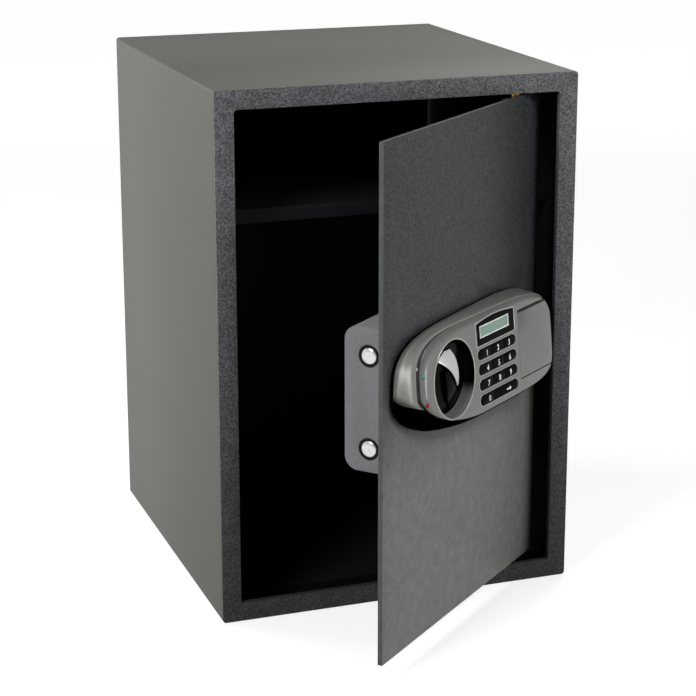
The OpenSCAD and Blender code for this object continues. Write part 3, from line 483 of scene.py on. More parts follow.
def bowl_abs():
    """Gloss ABS of the knob's bowl: silver lacquer at its lower left, black above as painted shade.

    It gives the eye a black recess with a bright wall at its lower left.
    """
    sizes, colours = lock(), bpy.context.scene.safe_colours
    material, tree, shader = start_material("bowl_abs")
    lower_left = (-UP * 0.9 - TO_HINGE * 0.45).normalized()
    # Painted shade: black over the bowl's upper side, silver lacquer only on its lit lower left wall
    lit_share = past_plane(tree, door_point(sizes.knob_s, sizes.middle, 0), lower_left, -5, 9)
    feed(tree, shader, {
        "Base Color": mix_tones(tree, lit_share, colours.knob, silver_lacquer(tree)),
        "Roughness": 0.22, "Specular IOR Level": 0.1})
    return material


FINISHES = {}


def make_finishes():
    """Every finish of the safe, by the record's slot name."""
    colours = bpy.context.scene.safe_colours
    plain = plain_material
    FINISHES.update({
        "cabinet_paint": smooth_powder_coat(),
        # The frame's darker foot is painted shade
        "frame_paint": speckled_powder_coat("frame_hammer_coat", colours.frame, 1.5,
                                            colours.frame_foot_painted_shade, 330, 0, 0.6),
        # The leaf's lighter foot is a painted sheen, and its free edge a painted highlight
        "door_paint": speckled_powder_coat("door_hammer_coat", colours.door, 2.2,
                                           colours.door_foot_painted_sheen, 300, 150, 0.1, colours.door_edge_painted_light),
        # Dark powder on shelf and hinge blocks: a flat near-black
        "inner_paint": plain("inner_powder_coat", linear("131416"), 0.2, 2.0, 0.55, bump=0.03,
                             shine=0.1),
        # Satin powder on the lock's sheet case: smooth neutral grey
        "case_paint": plain("case_powder_coat", colours.case, 0.06, 2.5, 0.5, bump=0.03, shine=0.2),
        # Needle felt: black with a fine fibrous tooth
        "floor_fabric": plain("needle_felt", colours.floor_mat, 0.4, 0.8, 0.95, bump=0.3, shine=0.1),
        # Turned bright steel: clear metallic shine, fine tool marks
        "bright_steel": plain("turned_steel", colours.bolts, 0.08, 0.5, 0.28, 1.0, 0.01),
        # Zinc plate: duller metal with small crystal spangle
        "zinc_steel": plain("zinc_plate", linear("afb2b4"), 0.1, 1.5, 0.4, 1.0, 0.01),
        # Turned brass: warm yellow metal
        "bush_brass": plain("turned_brass", linear("b3904b"), 0.12, 0.6, 0.32, 1.0, 0.01),
        # Moulded acetal: dull black
        "bush_plastic": plain("moulded_acetal", linear("0b0b0c"), 0.2, 0.8, 0.4, shine=0.1),
        # Coil under varnished tape: brown with a slight sheen
        "coil": plain("varnished_coil", linear("7d5033"), 0.2, 0.4, 0.45, bump=0.05),
        # Printed cell sleeves: plain green film
        "cells": plain("cell_sleeve", linear("3e7d4c"), 0.08, 3.0, 0.3),
        # Moulded ABS: black with a fine spark-eroded grain
        "black_plastic": plain("grained_abs", linear("161617"), 0.25, 0.7, 0.5, bump=0.04,
                               shine=0.3),
        # Moulded red ABS of the push button
        "red_plastic": plain("red_abs", linear("a22e28"), 0.08, 1.0, 0.35),
        # Cellular rubber: soft black without shine
        "gasket_rubber": plain("foam_rubber", linear("060607"), 0.3, 0.8, 0.8, bump=0.05,
                               shine=0.02),
        "housing_silver": lacquered_abs(),
        # Black without much shine: painted shade on the housing's lower flank, and the tray under
        # the side cover
        "housing_painted_shade": plain("bare_abs", colours.painted_underside_shade, 0.2, 0.8, 0.6, shine=0.0),
        # Gloss black ABS: deep black with sharp reflections
        "knob_black": plain("gloss_black_abs", colours.knob, 0.2, 1.5, 0.16, shine=0.015),
        "bowl_black": bowl_abs(),
        # Chrome-silver lacquer of the pointer: bright satin metal
        "knob_silver": plain("pointer_silver", colours.pointer, 0.06, 0.8, 0.3, 0.6),
        # Glass-fibre laminate under green solder resist
        "board": plain("solder_resist", linear("306a45"), 0.1, 1.2, 0.4),
        # Ivory thermoplastic of the switches
        "switch_plastic": plain("switch_thermoplastic", linear("c8c8c3"), 0.05, 1.0, 0.45),
        # Acrylic window, printed black from behind
        "window_black": plain("smoked_acrylic", colours.window, 0.2, 1.5, 0.1, shine=0.02),
        # Reflective liquid crystal cell: pale green-grey
        "display_green": plain("liquid_crystal_cell", colours.display, 0.06, 2.0, 0.3, shine=0.05),
        # Epoxy lenses of the two lamps: clear gloss over a pure colour
        "green_lens": plain("green_epoxy_lens", linear("59bc95"), 0.1, 0.6, 0.15, shine=0.2),
        "red_lens": plain("red_epoxy_lens", linear("ae1d18"), 0.1, 0.6, 0.15, shine=0.2),
        # Silicone key caps: matt black
        "key_black": plain("silicone_caps", colours.keys, 0.3, 0.8, 0.5, shine=0.02),
        # Screen-printed white of the numbers
        "print_white": plain("screen_print_white", colours.numbers, 0.05, 0.6, 0.5),
        # Raised lips round each opening; their lighter silver is a painted highlight of the edges
        "lip_silver": plain("polished_lip", colours.lips, 0.08, 0.6, 0.25, 0.3),
    })


# Building

def boxed(bm, low, high):
    """Adds a box between two corners to a bmesh."""
    low, high = Vector(low), Vector(high)
    size = high - low
    place = Matrix.Translation((low + high) / 2) @ Matrix.Diagonal(size.to_4d())
    place[3][3] = 1
    return bmesh.ops.create_cube(bm, size=1, matrix=place)["verts"]


def prism(bm, outline, low, high):
    """Adds an upright prism over a closed outline of (x, y) points."""
    face = bm.faces.new([bm.verts.new((x, y, low)) for x, y in outline])
    raised = bmesh.ops.extrude_face_region(bm, geom=[face])["geom"]
    lifted = [item for item in raised if isinstance(item, bmesh.types.BMVert)]
    bmesh.ops.translate(bm, verts=lifted, vec=(0, 0, high - low))


def turned(bm, profile, centre, segments=96):
    """Adds a solid of revolution round an upright axis; profile holds (radius, height)."""
    points = [bm.verts.new((centre[0] + radius, centre[1], height)) for radius, height in profile]
    edges = [bm.edges.new(pair) for pair in zip(points, points[1:])]
    bmesh.ops.spin(bm, geom=points + edges, cent=(centre[0], centre[1], 0), axis=(0, 0, 1),
                   angle=math.tau, steps=segments, use_merge=True)
    bmesh.ops.remove_doubles(bm, verts=bm.verts, dist=1e-5)


def lofted(bm, rings, closed=True):
    """Bridges closed rings of (x, y, z) points one to the next, with caps at both ends."""
    loops = []
    for ring in rings:
        verts = [bm.verts.new(point) for point in ring]
        loops.append([bm.edges.new((a, b)) for a, b in zip(verts, verts[1:] + verts[:1])])
    for first, second in zip(loops, loops[1:]):
        bmesh.ops.bridge_loops(bm, edges=first + second)
    if closed:
        bmesh.ops.contextual_create(bm, geom=loops[0])
        bmesh.ops.contextual_create(bm, geom=loops[-1])
    else:
        bmesh.ops.bridge_loops(bm, edges=loops[0] + loops[-1])


def new_object(name, data):
    """A new object in the scene."""
    thing = bpy.data.objects.new(name, data)
    bpy.context.scene.collection.objects.link(thing)
    return thing


def mesh_object(name, bm):
    """A new object in the scene made of a bmesh, which is freed."""
    mesh = bpy.data.meshes.new(name)
    bm.to_mesh(mesh)
    bm.free()
    return new_object(name, mesh)


def evaluated(thing):
    """The shape of an object with its modifiers, as a bmesh."""
    graph = bpy.context.evaluated_depsgraph_get()
    mesh = bpy.data.meshes.new_from_object(thing.evaluated_get(graph))
    bm = bmesh.new()
    bm.from_mesh(mesh)
    bpy.data.meshes.remove(mesh)
    return bm


def carved(bm, tool, operation="DIFFERENCE"):
    """Cuts one closed bmesh with another and returns the result; both inputs are freed."""
    objects = []
    for name, part in (("carved_body", bm), ("carving_tool", tool)):
        bmesh.ops.recalc_face_normals(part, faces=part.faces)
        objects.append(mesh_object(name, part))
    cut = objects[0].modifiers.new("cut", "BOOLEAN")
    cut.solver = "EXACT"
    cut.operation = operation
    cut.object = objects[1]
    result = evaluated(objects[0])
    for mesh in [thing.data for thing in objects]:
        bpy.data.meshes.remove(mesh)
    return result


def cad_copy(node):
    """A merged copy of a CAD node's mesh, in metres, with its flat faces whole again."""
    bm = bmesh.new()
    bm.from_mesh(frame["nodes"][node].data)
    bmesh.ops.transform(bm, matrix=frame["nodes"][node].matrix_world, verts=bm.verts)
    bmesh.ops.remove_doubles(bm, verts=bm.verts, dist=0.002 * MM)
    bmesh.ops.dissolve_limit(bm, angle_limit=math.radians(0.5), verts=bm.verts, edges=bm.edges)
    return bm


def soften(bm, width, segments=2, sharp=35):
    """Rounds every edge sharper than an angle by a width in the mesh's own units."""
    edges = [edge for edge in bm.edges
             if len(edge.link_faces) == 2 and edge.calc_face_angle() > math.radians(sharp)]
    bmesh.ops.bevel(bm, geom=edges, offset=width, offset_type="OFFSET", segments=segments,
                    profile=0.5, affect="EDGES", material=-1, clamp_overlap=True)


def finish_piece(name, bm, body, finish, replaces=(), place=None, smooth=35):
    """Makes a bmesh a piece that rides on a body, shaded smooth up to an angle."""
    if place is not None:
        bmesh.ops.transform(bm, matrix=place, verts=bm.verts)
    bmesh.ops.remove_doubles(bm, verts=bm.verts, dist=0.001 * MM)
    bmesh.ops.recalc_face_normals(bm, faces=bm.faces)
    piece = mesh_object(name, bm)
    piece.data.shade_smooth()
    piece.data.set_sharp_from_angle(angle=math.radians(smooth))
    piece.data.materials.append(FINISHES[finish])
    if replaces:
        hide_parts(*replaces)
    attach(piece, body)
    return piece


def dressed_copies(nodes, body, width, segments=2, sharp=35):
    """Replaces CAD nodes with copies whose edges are rounded by a width in millimetres."""
    for node in nodes:
        bm = cad_copy(node)
        if width:
            soften(bm, width * MM, segments, sharp)
        finish_piece(node + "_dressed", bm, body, SLOT_OF[node], (node,))


def lock():
    """The lock's sizes."""
    return bpy.context.scene.safe_lock


def panel_tilt():
    """Matrix that lays flat work, made round height 0, on the tilted panel."""
    sizes = lock()
    height = (sizes.panel_height - sizes.rise_s * TILT_S
              - sizes.rise_v * (sizes.middle + HOUSING_UP))
    return Matrix(((1, 0, 0, 0), (0, 1, 0, 0), (sizes.rise_s, sizes.rise_v, 1, height),
                   (0, 0, 0, 1)))


def bend(value, power):
    """Signed power that squares off an ellipse."""
    return math.copysign(abs(value) ** (2 / power), value)


def housing_ring(start, middle, end, half, inset=0.0):
    """Outline of the housing: a full upper nose, a slender chin and a blunt tail."""
    sizes = lock()
    centre = sizes.middle + HOUSING_UP
    points = []
    for step in range(RING_STEPS):
        turn = math.tau * step / RING_STEPS
        across, up = math.cos(turn), math.sin(turn)
        # A share that changes smoothly from 0 on the lower half to 1 on the upper
        upper = min(1, max(0, 0.5 + up / 0.6))
        upper = upper * upper * (3 - 2 * upper)
        if across >= 0:
            power = sizes.heel_power + (sizes.tail_power - sizes.heel_power) * upper
        else:
            power = sizes.chin_power + (sizes.nose_power - sizes.chin_power) * upper
        reach = (end - middle if across >= 0 else middle - start) - inset
        points.append((middle + reach * bend(across, power),
                       centre + (half - inset) * bend(up, power)))
    return points


def between(first, second, share):
    """x and y at a share of the way from one point to another."""
    return [first[i] + (second[i] - first[i]) * share for i in (0, 1)]


def ridge_lift(step):
    """How far the ridge rises at a point of a ring, from 0 to 1."""
    return max(0.0, math.cos(math.tau * step / RING_STEPS - RIDGE_AT))


def housing_form():
    """Closed form of the housing: rim, shoulder with a swollen nose, and tilted panel."""
    sizes = lock()
    tilt = panel_tilt()
    outer = housing_ring(sizes.nose_s, sizes.nose_s + RIM_TURN, sizes.tail_s, sizes.half_height)
    edge, inner = (housing_ring(sizes.panel_s, sizes.panel_s + PANEL_TURN, sizes.panel_end,
                                sizes.panel_half, inset) for inset in (0, EDGE_IN + RIDGE_IN))
    rings = [[(x, y, height) for x, y in outer] for height in (sizes.gasket, sizes.rim - 1)]
    for part in SHOULDER_PARTS:
        climb = math.sin(part * math.pi / 2) ** 0.8
        swell = math.sin(part ** 1.5 * math.pi) ** 0.8 * sizes.swell
        ring = []
        for step, (a, b) in enumerate(zip(outer, edge)):
            nose = max(0.0, -math.cos(math.tau * step / RING_STEPS)) ** 1.5
            head = ((tilt @ Vector((*b, 0))).z - EDGE_DROP - ridge_lift(step)
                    - sizes.crease * nose)
            ring.append((*between(a, b, part),
                         sizes.rim + (head - sizes.rim) * climb + swell * nose))
        rings.append(ring)
    for part in EDGE_PARTS:
        ring = []
        for step, (a, b) in enumerate(zip(edge, inner)):
            ridge = ridge_lift(step)
            share = part * (EDGE_IN + RIDGE_IN * ridge) / (EDGE_IN + RIDGE_IN)
            drop = (EDGE_DROP + ridge) * (1 - part) ** 2
            ring.append(tuple(tilt @ Vector((*between(a, b, share), -drop))))
        rings.append(ring)
    bm = bmesh.new()
    lofted(bm, rings)
    return bm


def lamp_places():
    """Places of the green and the red lamp on the door."""
    sizes = lock()
    return [(sizes.panel_s + right, sizes.middle + up) for right, up in LAMPS]


def row_v(row):
    """Height of a key row's middle."""
    sizes = lock()
    return sizes.middle + sizes.row_up - row * sizes.row_pitch


def capsule(start, end, middle, radius, steps=16):
    """Outline of a key row, a slot with round ends."""
    points = []
    for centre, turn in ((end - radius, -math.pi / 2), (start + radius, math.pi / 2)):
        for step in range(steps + 1):
            angle = turn + math.pi * step / steps
            points.append((centre + radius * math.cos(angle), middle + radius * math.sin(angle)))
    return points


def row_outline(row, grow):
    """Outline of one key row's opening, grown by a margin."""
    sizes = lock()
    return capsule(sizes.keys_s - grow, sizes.keys_s + sizes.row_length + grow, row_v(row),
                   sizes.row_height / 2 + grow)


def window_low():
    """Height of the display window's lower edge."""
    return row_v(0) + lock().row_height / 2 + WINDOW_GAP


def window_outline(grow, corner=1.6, steps=24):
    """Outline of the display window: straight sides under a low arch, corners rounded."""
    sizes = lock()
    left, right = sizes.keys_s - grow, sizes.keys_s + sizes.row_length + grow
    low = window_low() - grow
    high = low + sizes.window_height + 2 * grow
    points = rounded_corner(left + corner, low + corner, corner, math.pi)
    points += rounded_corner(right - corner, low + corner, corner, 1.5 * math.pi)
    for step in range(steps + 1):
        part = step / steps
        arch = ARCH_RISE * math.sin(math.pi * part) ** 0.9
        points.append((right - (right - left) * part, high + arch))
    return points


def rounded_corner(x, y, radius, start, steps=5):
    """Quarter round of an outline, anticlockwise from an angle."""
    return [(x + radius * math.cos(start + math.pi / 2 * step / steps),
             y + radius * math.sin(start + math.pi / 2 * step / steps))
            for step in range(steps + 1)]


def circle_outline(x, y, radius, steps=96):
    """Closed circle as points."""
    return [(x + radius * math.cos(math.tau * step / steps),
             y + radius * math.sin(math.tau * step / steps)) for step in range(steps)]


def bowl_profile(points, wall):
    """Profile of the knob's bowl from its axis out and up, given its wall's radius."""
    sizes = lock()
    low = [(sizes.knob_radius + out, sizes.bowl_floor + up) for out, up in points]
    return [(0, low[0][1]), *low, (wall, BOWL_WALL_FROM), (wall, BOWL_WALL_TO)]


def bead(bm, outline_at, width, height):
    """Adds a low rounded lip along the outlines that outline_at gives for each margin."""
    # The lip's section: shares of its width and of its height
    section = ((0.0, -0.6), (0.0, 0.55), (0.25, 0.9), (0.5, 1.0), (0.75, 0.85), (1.0, 0.0),
               (1.0, -0.6))
    rings = [[(x, y, height * lift) for x, y in outline_at(0.1 + width * out)]
             for out, lift in section]
    lofted(bm, rings, closed=False)


# Operators

class SAFE_OT_finishes(Operator):
    """Makes the finishes and gives every CAD node its own"""
    bl_idname = "safe.finishes"
    bl_label = "Finishes"

    def execute(self, context):
        make_finishes()
        for node, piece in frame["nodes"].items():
            piece.data.materials.clear()
            piece.data.materials.append(FINISHES[SLOT_OF[node]])
        return {"FINISHED"}


class SAFE_OT_cabinet(Operator):
    """Rounds the edges of the wrapped body, the front frame, the shelf and its supports"""
    bl_idname = "safe.cabinet"
    bl_label = "Cabinet"

    def execute(self, context):
        dressed_copies(("cabinet_shell",), "cabinet", 0.5, sharp=60)
        dressed_copies(("front_frame",), "cabinet", 0.9, segments=3)
        dressed_copies(("shelf_supports",), "cabinet", 0.5)
        dressed_copies(("hinge_lugs",), "cabinet", 0.6)
        dressed_copies(("shelf",), "shelf", 0.4)
        return {"FINISHED"}


class SAFE_OT_door(Operator):
    """Makes the door leaf and its hinge blocks with softened edges"""
    bl_idname = "safe.door"
    bl_label = "Door leaf"

    def execute(self, context):
        dressed_copies(("door_plate",), "door", 0.7, segments=3)
        dressed_copies(("hinge_blocks",), "door", 0.6)
        return {"FINISHED"}


class SAFE_OT_lock_case(Operator):
    """Makes the sheet case behind the door, its bolts and its hatch"""
    bl_idname = "safe.lock_case"
    bl_label = "Lock case"

    def execute(self, context):
        dressed_copies(("lock_case",), "door", 0.6, segments=3)
        dressed_copies(("bolt_bushes", "case_screws"), "door", 0.4)
        dressed_copies(("bolt_upper", "bolt_lower"), "bolt_works", 0)
        dressed_copies(("battery_cover",), "battery_cover", 0.35)
        dressed_copies(("reset_button",), "reset_button", 0.4)
        return {"FINISHED"}


class SAFE_OT_housing(Operator):
    """Makes the lock's housing with its openings, lips and the knob's bowl"""
    bl_idname = "safe.housing"
    bl_label = "Lock housing"

    def execute(self, context):
        sizes = lock()
        tilt = panel_tilt()
        centre = sizes.middle + HOUSING_UP
        knob_at = (sizes.knob_s, sizes.middle)

        openings = bmesh.new()
        for row in range(4):
            prism(openings, row_outline(row, grow=0.15), low=-6, high=ABOVE_PANEL)
        prism(openings, window_outline(grow=0.2), low=-3, high=ABOVE_PANEL)
        for place in lamp_places():
            prism(openings, circle_outline(*place, LAMP_HOLE, 32), low=-4, high=ABOVE_PANEL)
        bmesh.ops.transform(openings, matrix=tilt, verts=openings.verts)
        bowl = bowl_profile(BOWL_POINTS, sizes.bowl_radius)
        turned(openings, bowl + [(0, BOWL_WALL_TO)], knob_at)
        boxed(openings,
              (sizes.cover_s - TRAY_LEFT, centre - sizes.cover_half - TRAY_BELOW, sizes.tray),
              (sizes.tail_s + PAST_TAIL, centre + sizes.cover_half + TRAY_ABOVE, ABOVE_DOOR))
        housing = carved(housing_form(), openings)
        slope = (tilt.to_3x3().inverted().transposed() @ UP).normalized()
        shell = self.part_finishes(housing, tilt, slope)
        shell.data.materials.append(FINISHES["housing_painted_shade"])

        liner = bmesh.new()
        turned(liner, bowl_profile(LINER_POINTS, sizes.bowl_radius - LINER_GAP), knob_at)
        bmesh.ops.bisect_plane(liner, geom=liner.verts[:] + liner.edges[:] + liner.faces[:],
                               plane_co=tilt @ Vector((*knob_at, 0.2)), plane_no=slope,
                               clear_outer=True)
        bmesh.ops.recalc_face_normals(liner, faces=liner.faces)
        bmesh.ops.reverse_faces(liner, faces=liner.faces)
        bmesh.ops.solidify(liner, geom=liner.faces[:], thickness=0.1)
        finish_piece("knob_bowl", liner, "door", "bowl_black", (), DOOR, smooth=50)

        lips = bmesh.new()
        for row in range(4):
            bead(lips, lambda grow, row=row: row_outline(row, grow), width=1.1,
                 height=0.45)
        bead(lips, window_outline, width=1.5, height=0.55)
        bead(lips, lambda grow: circle_outline(*knob_at, sizes.bowl_radius + grow), width=1.7,
             height=0.7)
        bmesh.ops.transform(lips, matrix=tilt, verts=lips.verts)
        finish_piece("panel_lips", lips, "door", "lip_silver", (), DOOR, smooth=60)
        return {"FINISHED"}

    def part_finishes(self, bm, tilt, slope):
        """Cuts the shell at its parting planes, marks the faces painted black as shade; returns it.
        """
        sizes = lock()
        middle = sizes.middle + HOUSING_UP
        for point, way in shade_partings():
            bmesh.ops.bisect_plane(bm, geom=bm.verts[:] + bm.edges[:] + bm.faces[:],
                                   plane_co=point, plane_no=way)
        turn_s = sizes.panel_s + PANEL_TURN
        on_panel = tilt @ Vector((TILT_S, sizes.middle, 0))
        for face in bm.faces:
            centre = face.calc_center_median()
            past = any((centre - Vector(point)).dot(way) > 0 for point, way in shade_partings())
            left = centre.x < turn_s
            reach = turn_s - sizes.panel_s if left else sizes.panel_end - turn_s
            power = sizes.chin_power if left else sizes.heel_power
            outside = (abs(centre.x - turn_s) / reach) ** power + (
                abs(centre.y - middle) / sizes.panel_half) ** power > 1
            in_tray = (centre.x > sizes.cover_s - TRAY_LEFT - 0.05
                       and abs(centre.y - middle) < sizes.cover_half + TRAY_ABOVE + 0.1
                       and (centre - on_panel).dot(slope) < -1.5)
            # Painted shade: faces past the parting planes and outside the panel turn black, as does
            # the tray
            face.material_index = int(past and outside or in_tray)
        return finish_piece("lock_housing_shell", bm, "door", "housing_silver",
                            ("lock_housing",), DOOR, smooth=32)


class SAFE_OT_side_cover(Operator):
    """Makes the cap at the housing's right end, in the housing's own curve"""
    bl_idname = "safe.side_cover"
    bl_label = "Side cover"

    def execute(self, context):
        sizes = lock()
        centre = sizes.middle + HOUSING_UP
        block = bmesh.new()
        boxed(block, (sizes.cover_s, centre - sizes.cover_half, sizes.tray + 0.3),
              (sizes.tail_s + PAST_TAIL, centre + sizes.cover_half, ABOVE_DOOR))
        cap = carved(housing_form(), block, "INTERSECT")
        bmesh.ops.dissolve_limit(cap, angle_limit=math.radians(0.5), verts=cap.verts,
                                 edges=cap.edges)
        soften(cap, 0.3, sharp=50)
        finish_piece("side_cover_cap", cap, "side_cover", "housing_silver", ("side_cover",), DOOR)
        return {"FINISHED"}


class SAFE_OT_knob(Operator):
    """Makes the knob with its crowned grip and the bright pointer"""
    bl_idname = "safe.knob"
    bl_label = "Knob"

    def execute(self, context):
        dressed_copies(("knob",), "knob", 0.7, segments=3)
        dressed_copies(("knob_inlay",), "knob", 0.25)
        return {"FINISHED"}


class SAFE_OT_keys(Operator):
    """Makes the key caps and the white numbers printed on them"""
    bl_idname = "safe.keys"
    bl_label = "Keys"

    def execute(self, context):
        sizes = lock()
        tilt = panel_tilt()
        for index, node in enumerate(KEY_NODES):
            bm = cad_copy(node)
            soften(bm, 0.35 * MM)
            finish_piece(node + "_cap", bm, node, "key_black", (node,))
            row, column = divmod(index, 3) if index < 9 else (3, index - 9)
            at = Vector((sizes.keys_s + NUMBER_IN + sizes.number_pitch * column,
                         row_v(row) - PRINT_DROP, sizes.key_proud + PRINT_GAP))
            if node == "key_enter":
                at.x += ARROW_ON
                mark = bmesh.new()
                prism(mark, ARROW, 0, PRINT_THICK)
            else:
                mark = number_mesh(node[-1], NUMBER_SIZE, PRINT_THICK)
            bmesh.ops.translate(mark, verts=mark.verts, vec=at)
            bmesh.ops.transform(mark, matrix=tilt, verts=mark.verts)
            finish_piece(node + "_number", mark, node, "print_white", (), DOOR)
        return {"FINISHED"}


def number_mesh(text, size, thickness):
    """A printed number as a thin closed bmesh, centred, in millimetres."""
    curve = bpy.data.curves.new("number", "FONT")
    curve.body = text
    curve.size = size
    curve.align_x = "CENTER"
    curve.align_y = "CENTER"
    # Fattens the strokes
    curve.offset = size * 0.018
    curve.extrude = thickness / 2
    curve.resolution_u = 4
    holder = new_object("number", curve)
    bm = evaluated(holder)
    bpy.data.objects.remove(holder)
    bpy.data.curves.remove(curve)
    bmesh.ops.remove_doubles(bm, verts=bm.verts, dist=0.001)
    return bm


class SAFE_OT_display(Operator):
    """Makes the light border round the display"""
    bl_idname = "safe.display"
    bl_label = "Display"

    def execute(self, context):
        left = lock().keys_s + DISPLAY_IN
        low = window_low() + DISPLAY_UP
        border = bmesh.new()
        field = bmesh.ops.create_grid(border, x_segments=1, y_segments=1, size=0.5)["verts"]
        bmesh.ops.scale(border, verts=field, vec=(DISPLAY_WIDTH, DISPLAY_HEIGHT, 1))
        bmesh.ops.translate(border, verts=field, vec=(
            left + DISPLAY_WIDTH / 2, low + DISPLAY_HEIGHT / 2, DISPLAY_FOOT))
        middle = border.faces[:]
        bmesh.ops.inset_region(border, faces=middle, thickness=DISPLAY_LINE, use_boundary=True,
                               use_even_offset=True)
        bmesh.ops.delete(border, geom=middle, context="FACES")
        raised = bmesh.ops.extrude_face_region(border, geom=border.faces[:], use_keep_orig=True)
        lifted = [item for item in raised["geom"] if isinstance(item, bmesh.types.BMVert)]
        bmesh.ops.translate(border, verts=lifted, vec=(0, 0, DISPLAY_THICK))
        bmesh.ops.transform(border, matrix=panel_tilt(), verts=border.verts)
        finish_piece("display_border", border, "door", "print_white", (), DOOR)
        return {"FINISHED"}


class SAFE_OT_lamps(Operator):
    """Makes the two domed lamps left of the knob"""
    bl_idname = "safe.lamps"
    bl_label = "Lamps"

    def execute(self, context):
        for place, node, finish in zip(lamp_places(), ("led_green", "led_red"),
                                       ("green_lens", "red_lens")):
            top = (panel_tilt() @ Vector((*place, 0))).z
            dome = bmesh.new()
            turned(dome, [(radius, top + lift) for radius, lift in LAMP_PROFILE], place, 32)
            finish_piece(node + "_dome", dome, "door", finish, (node,), DOOR, smooth=50)
        return {"FINISHED"}


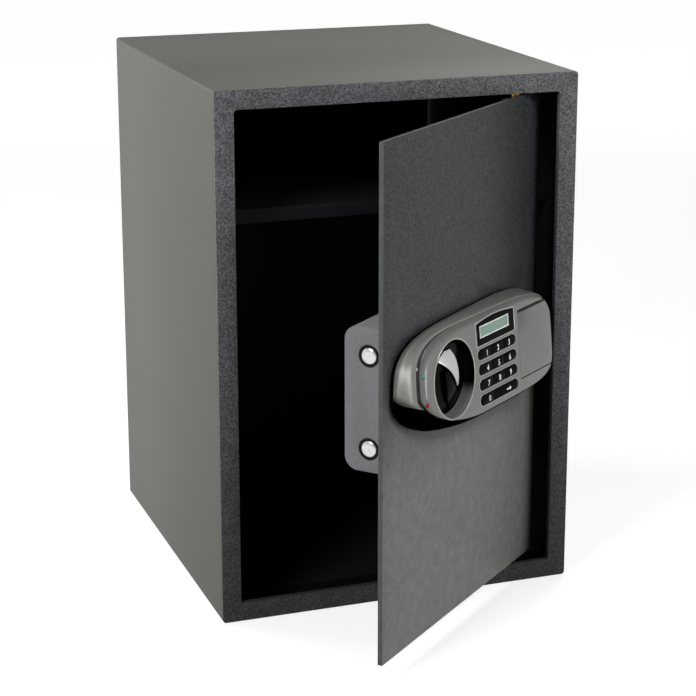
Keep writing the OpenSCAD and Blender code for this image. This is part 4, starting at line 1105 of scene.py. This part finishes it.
class SAFE_OT_stage(Operator):
    """Makes the floor, the soft studio light, the white surround and the camera"""
    bl_idname = "safe.stage"
    bl_label = "Stage"

    def execute(self, context):
        settings = context.scene.safe_stage
        context.scene.view_settings.view_transform = "Standard"
        self.make_floor()
        self.make_world(settings)
        for name, place, target, size in SOFTBOXES:
            self.make_lamp(name + "_softbox", place, target, size,
                           getattr(settings, name + "_power"))
        data = bpy.data.cameras.new("camera")
        data.lens = settings.lens
        data.sensor_width = 36
        data.shift_x, data.shift_y = settings.shift
        data.clip_start = 0.05
        camera = new_object("camera", data)
        camera.location = settings.camera_at
        camera.rotation_euler = settings.camera_turn
        context.scene.camera = camera
        return {"FINISHED"}

    def make_floor(self):
        """A large pale floor, white to the camera, that keeps the shadow; under the cabinet it is
        painted dark as shadow.
        """
        bm = bmesh.new()
        bmesh.ops.create_grid(bm, x_segments=1, y_segments=1, size=FLOOR_REACH)
        bmesh.ops.translate(bm, verts=bm.verts, vec=(0, 0, -FLOOR_DOWN * MM))
        floor = mesh_object("floor", bm)
        material, tree, shader = start_material("pale_floor")
        cloud = grain(tree, 400)
        pale = blend(tree, cloud, linear("b4b4b4"), linear("bababa"))
        under = in_box(tree, *UNDER_SHADOW)
        ray = add(tree, "ShaderNodeLightPath").outputs
        seen = joined(tree, "MAXIMUM", joined(tree, "MAXIMUM", ray["Is Camera Ray"],
                                              ray["Is Glossy Ray"]), ray["Is Transmission Ray"])
        place = add(tree, "ShaderNodeTexCoord").outputs["Object"]
        reach = add(tree, "ShaderNodeVectorMath", {0: place}, operation="LENGTH").outputs["Value"]
        glow = add(tree, "ShaderNodeMapRange", {"Value": reach, **FLOOR_GLOW}).outputs["Result"]
        shown = joined(tree, "MULTIPLY", joined(tree, "MULTIPLY", seen, glow),
                       joined(tree, "SUBTRACT", 1.0, under))
        # Painted shadow: the footprint under the cabinet is near-black and does not glow
        feed(tree, shader, {
            "Base Color": mix_tones(tree, under, pale, linear("0a0a0a")), "Roughness": 0.9,
            "Specular IOR Level": 0.0, "Emission Strength": shown,
            "Emission Color": (1, 1, 1, 1)})
        floor.data.materials.append(material)

    def make_world(self, settings):
        """Even light; white to the camera, and near the horizon in reflections."""
        world = bpy.data.worlds.new("studio")
        world.use_nodes = True
        tree = world.node_tree
        tree.nodes.clear()
        ray = add(tree, "ShaderNodeLightPath").outputs
        seen = joined(tree, "MAXIMUM", ray["Is Camera Ray"], ray["Is Transmission Ray"])
        direction = add(tree, "ShaderNodeTexCoord").outputs["Generated"]
        up = add(tree, "ShaderNodeSeparateXYZ", {"Vector": direction}).outputs["Z"]
        near_horizon = add(tree, "ShaderNodeMapRange", {"Value": up, **HORIZON},
                           interpolation_type="SMOOTHSTEP").outputs["Result"]
        mirrored = joined(tree, "MULTIPLY", ray["Is Glossy Ray"], near_horizon)
        dim = joined(tree, "MULTIPLY", joined(tree, "SUBTRACT", 1.0, ray["Is Glossy Ray"]),
                     settings.sky)
        light = add(tree, "ShaderNodeBackground", {
            "Color": (1, 1, 1, 1), "Strength": joined(tree, "ADD", dim, mirrored)})
        white = add(tree, "ShaderNodeBackground", {"Color": (1, 1, 1, 1), "Strength": 1.0})
        mixed = add(tree, "ShaderNodeMixShader", {
            "Fac": seen, 1: light.outputs["Background"], 2: white.outputs["Background"]})
        add(tree, "ShaderNodeOutputWorld", {"Surface": mixed.outputs["Shader"]})
        bpy.context.scene.world = world

    def make_lamp(self, name, place, target, size, power):
        """A rectangular softbox that looks at a point."""
        data = bpy.data.lights.new(name, "AREA")
        data.shape = "RECTANGLE"
        data.size, data.size_y = size
        data.energy = power
        lamp = new_object(name, data)
        lamp.location = place
        lamp.rotation_euler = (Vector(target) - Vector(place)).to_track_quat("-Z", "Y").to_euler()
        lamp.visible_camera = False


OPERATORS = (SAFE_OT_finishes, SAFE_OT_cabinet, SAFE_OT_door, SAFE_OT_lock_case, SAFE_OT_housing,
             SAFE_OT_side_cover, SAFE_OT_knob, SAFE_OT_keys, SAFE_OT_display, SAFE_OT_lamps,
             SAFE_OT_stage)


class SAFE_PT_sidebar(Panel):
    """Lists the safe's operators"""
    bl_label = "Furniture Safe"
    bl_space_type = "VIEW_3D"
    bl_region_type = "UI"
    bl_category = "Safe"

    def draw(self, context):
        for operator in OPERATORS:
            self.layout.operator(operator.bl_idname)


CLASSES = (SafeColours, LockSizes, StageSettings) + OPERATORS + (SAFE_PT_sidebar,)


def register():
    """Registers the classes and the scene's properties."""
    for cls in CLASSES:
        bpy.utils.register_class(cls)
    bpy.types.Scene.safe_colours = PointerProperty(type=SafeColours)
    bpy.types.Scene.safe_lock = PointerProperty(type=LockSizes)
    bpy.types.Scene.safe_stage = PointerProperty(type=StageSettings)


def unregister():
    """Removes what register added."""
    del bpy.types.Scene.safe_stage
    del bpy.types.Scene.safe_lock
    del bpy.types.Scene.safe_colours
    for cls in reversed(CLASSES):
        bpy.utils.unregister_class(cls)


def main():
    register()
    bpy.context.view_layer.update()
    for operator in OPERATORS:
        name = operator.bl_idname.split(".")[1]
        getattr(bpy.ops.safe, name)()


if __name__ == "__main__":
    main()
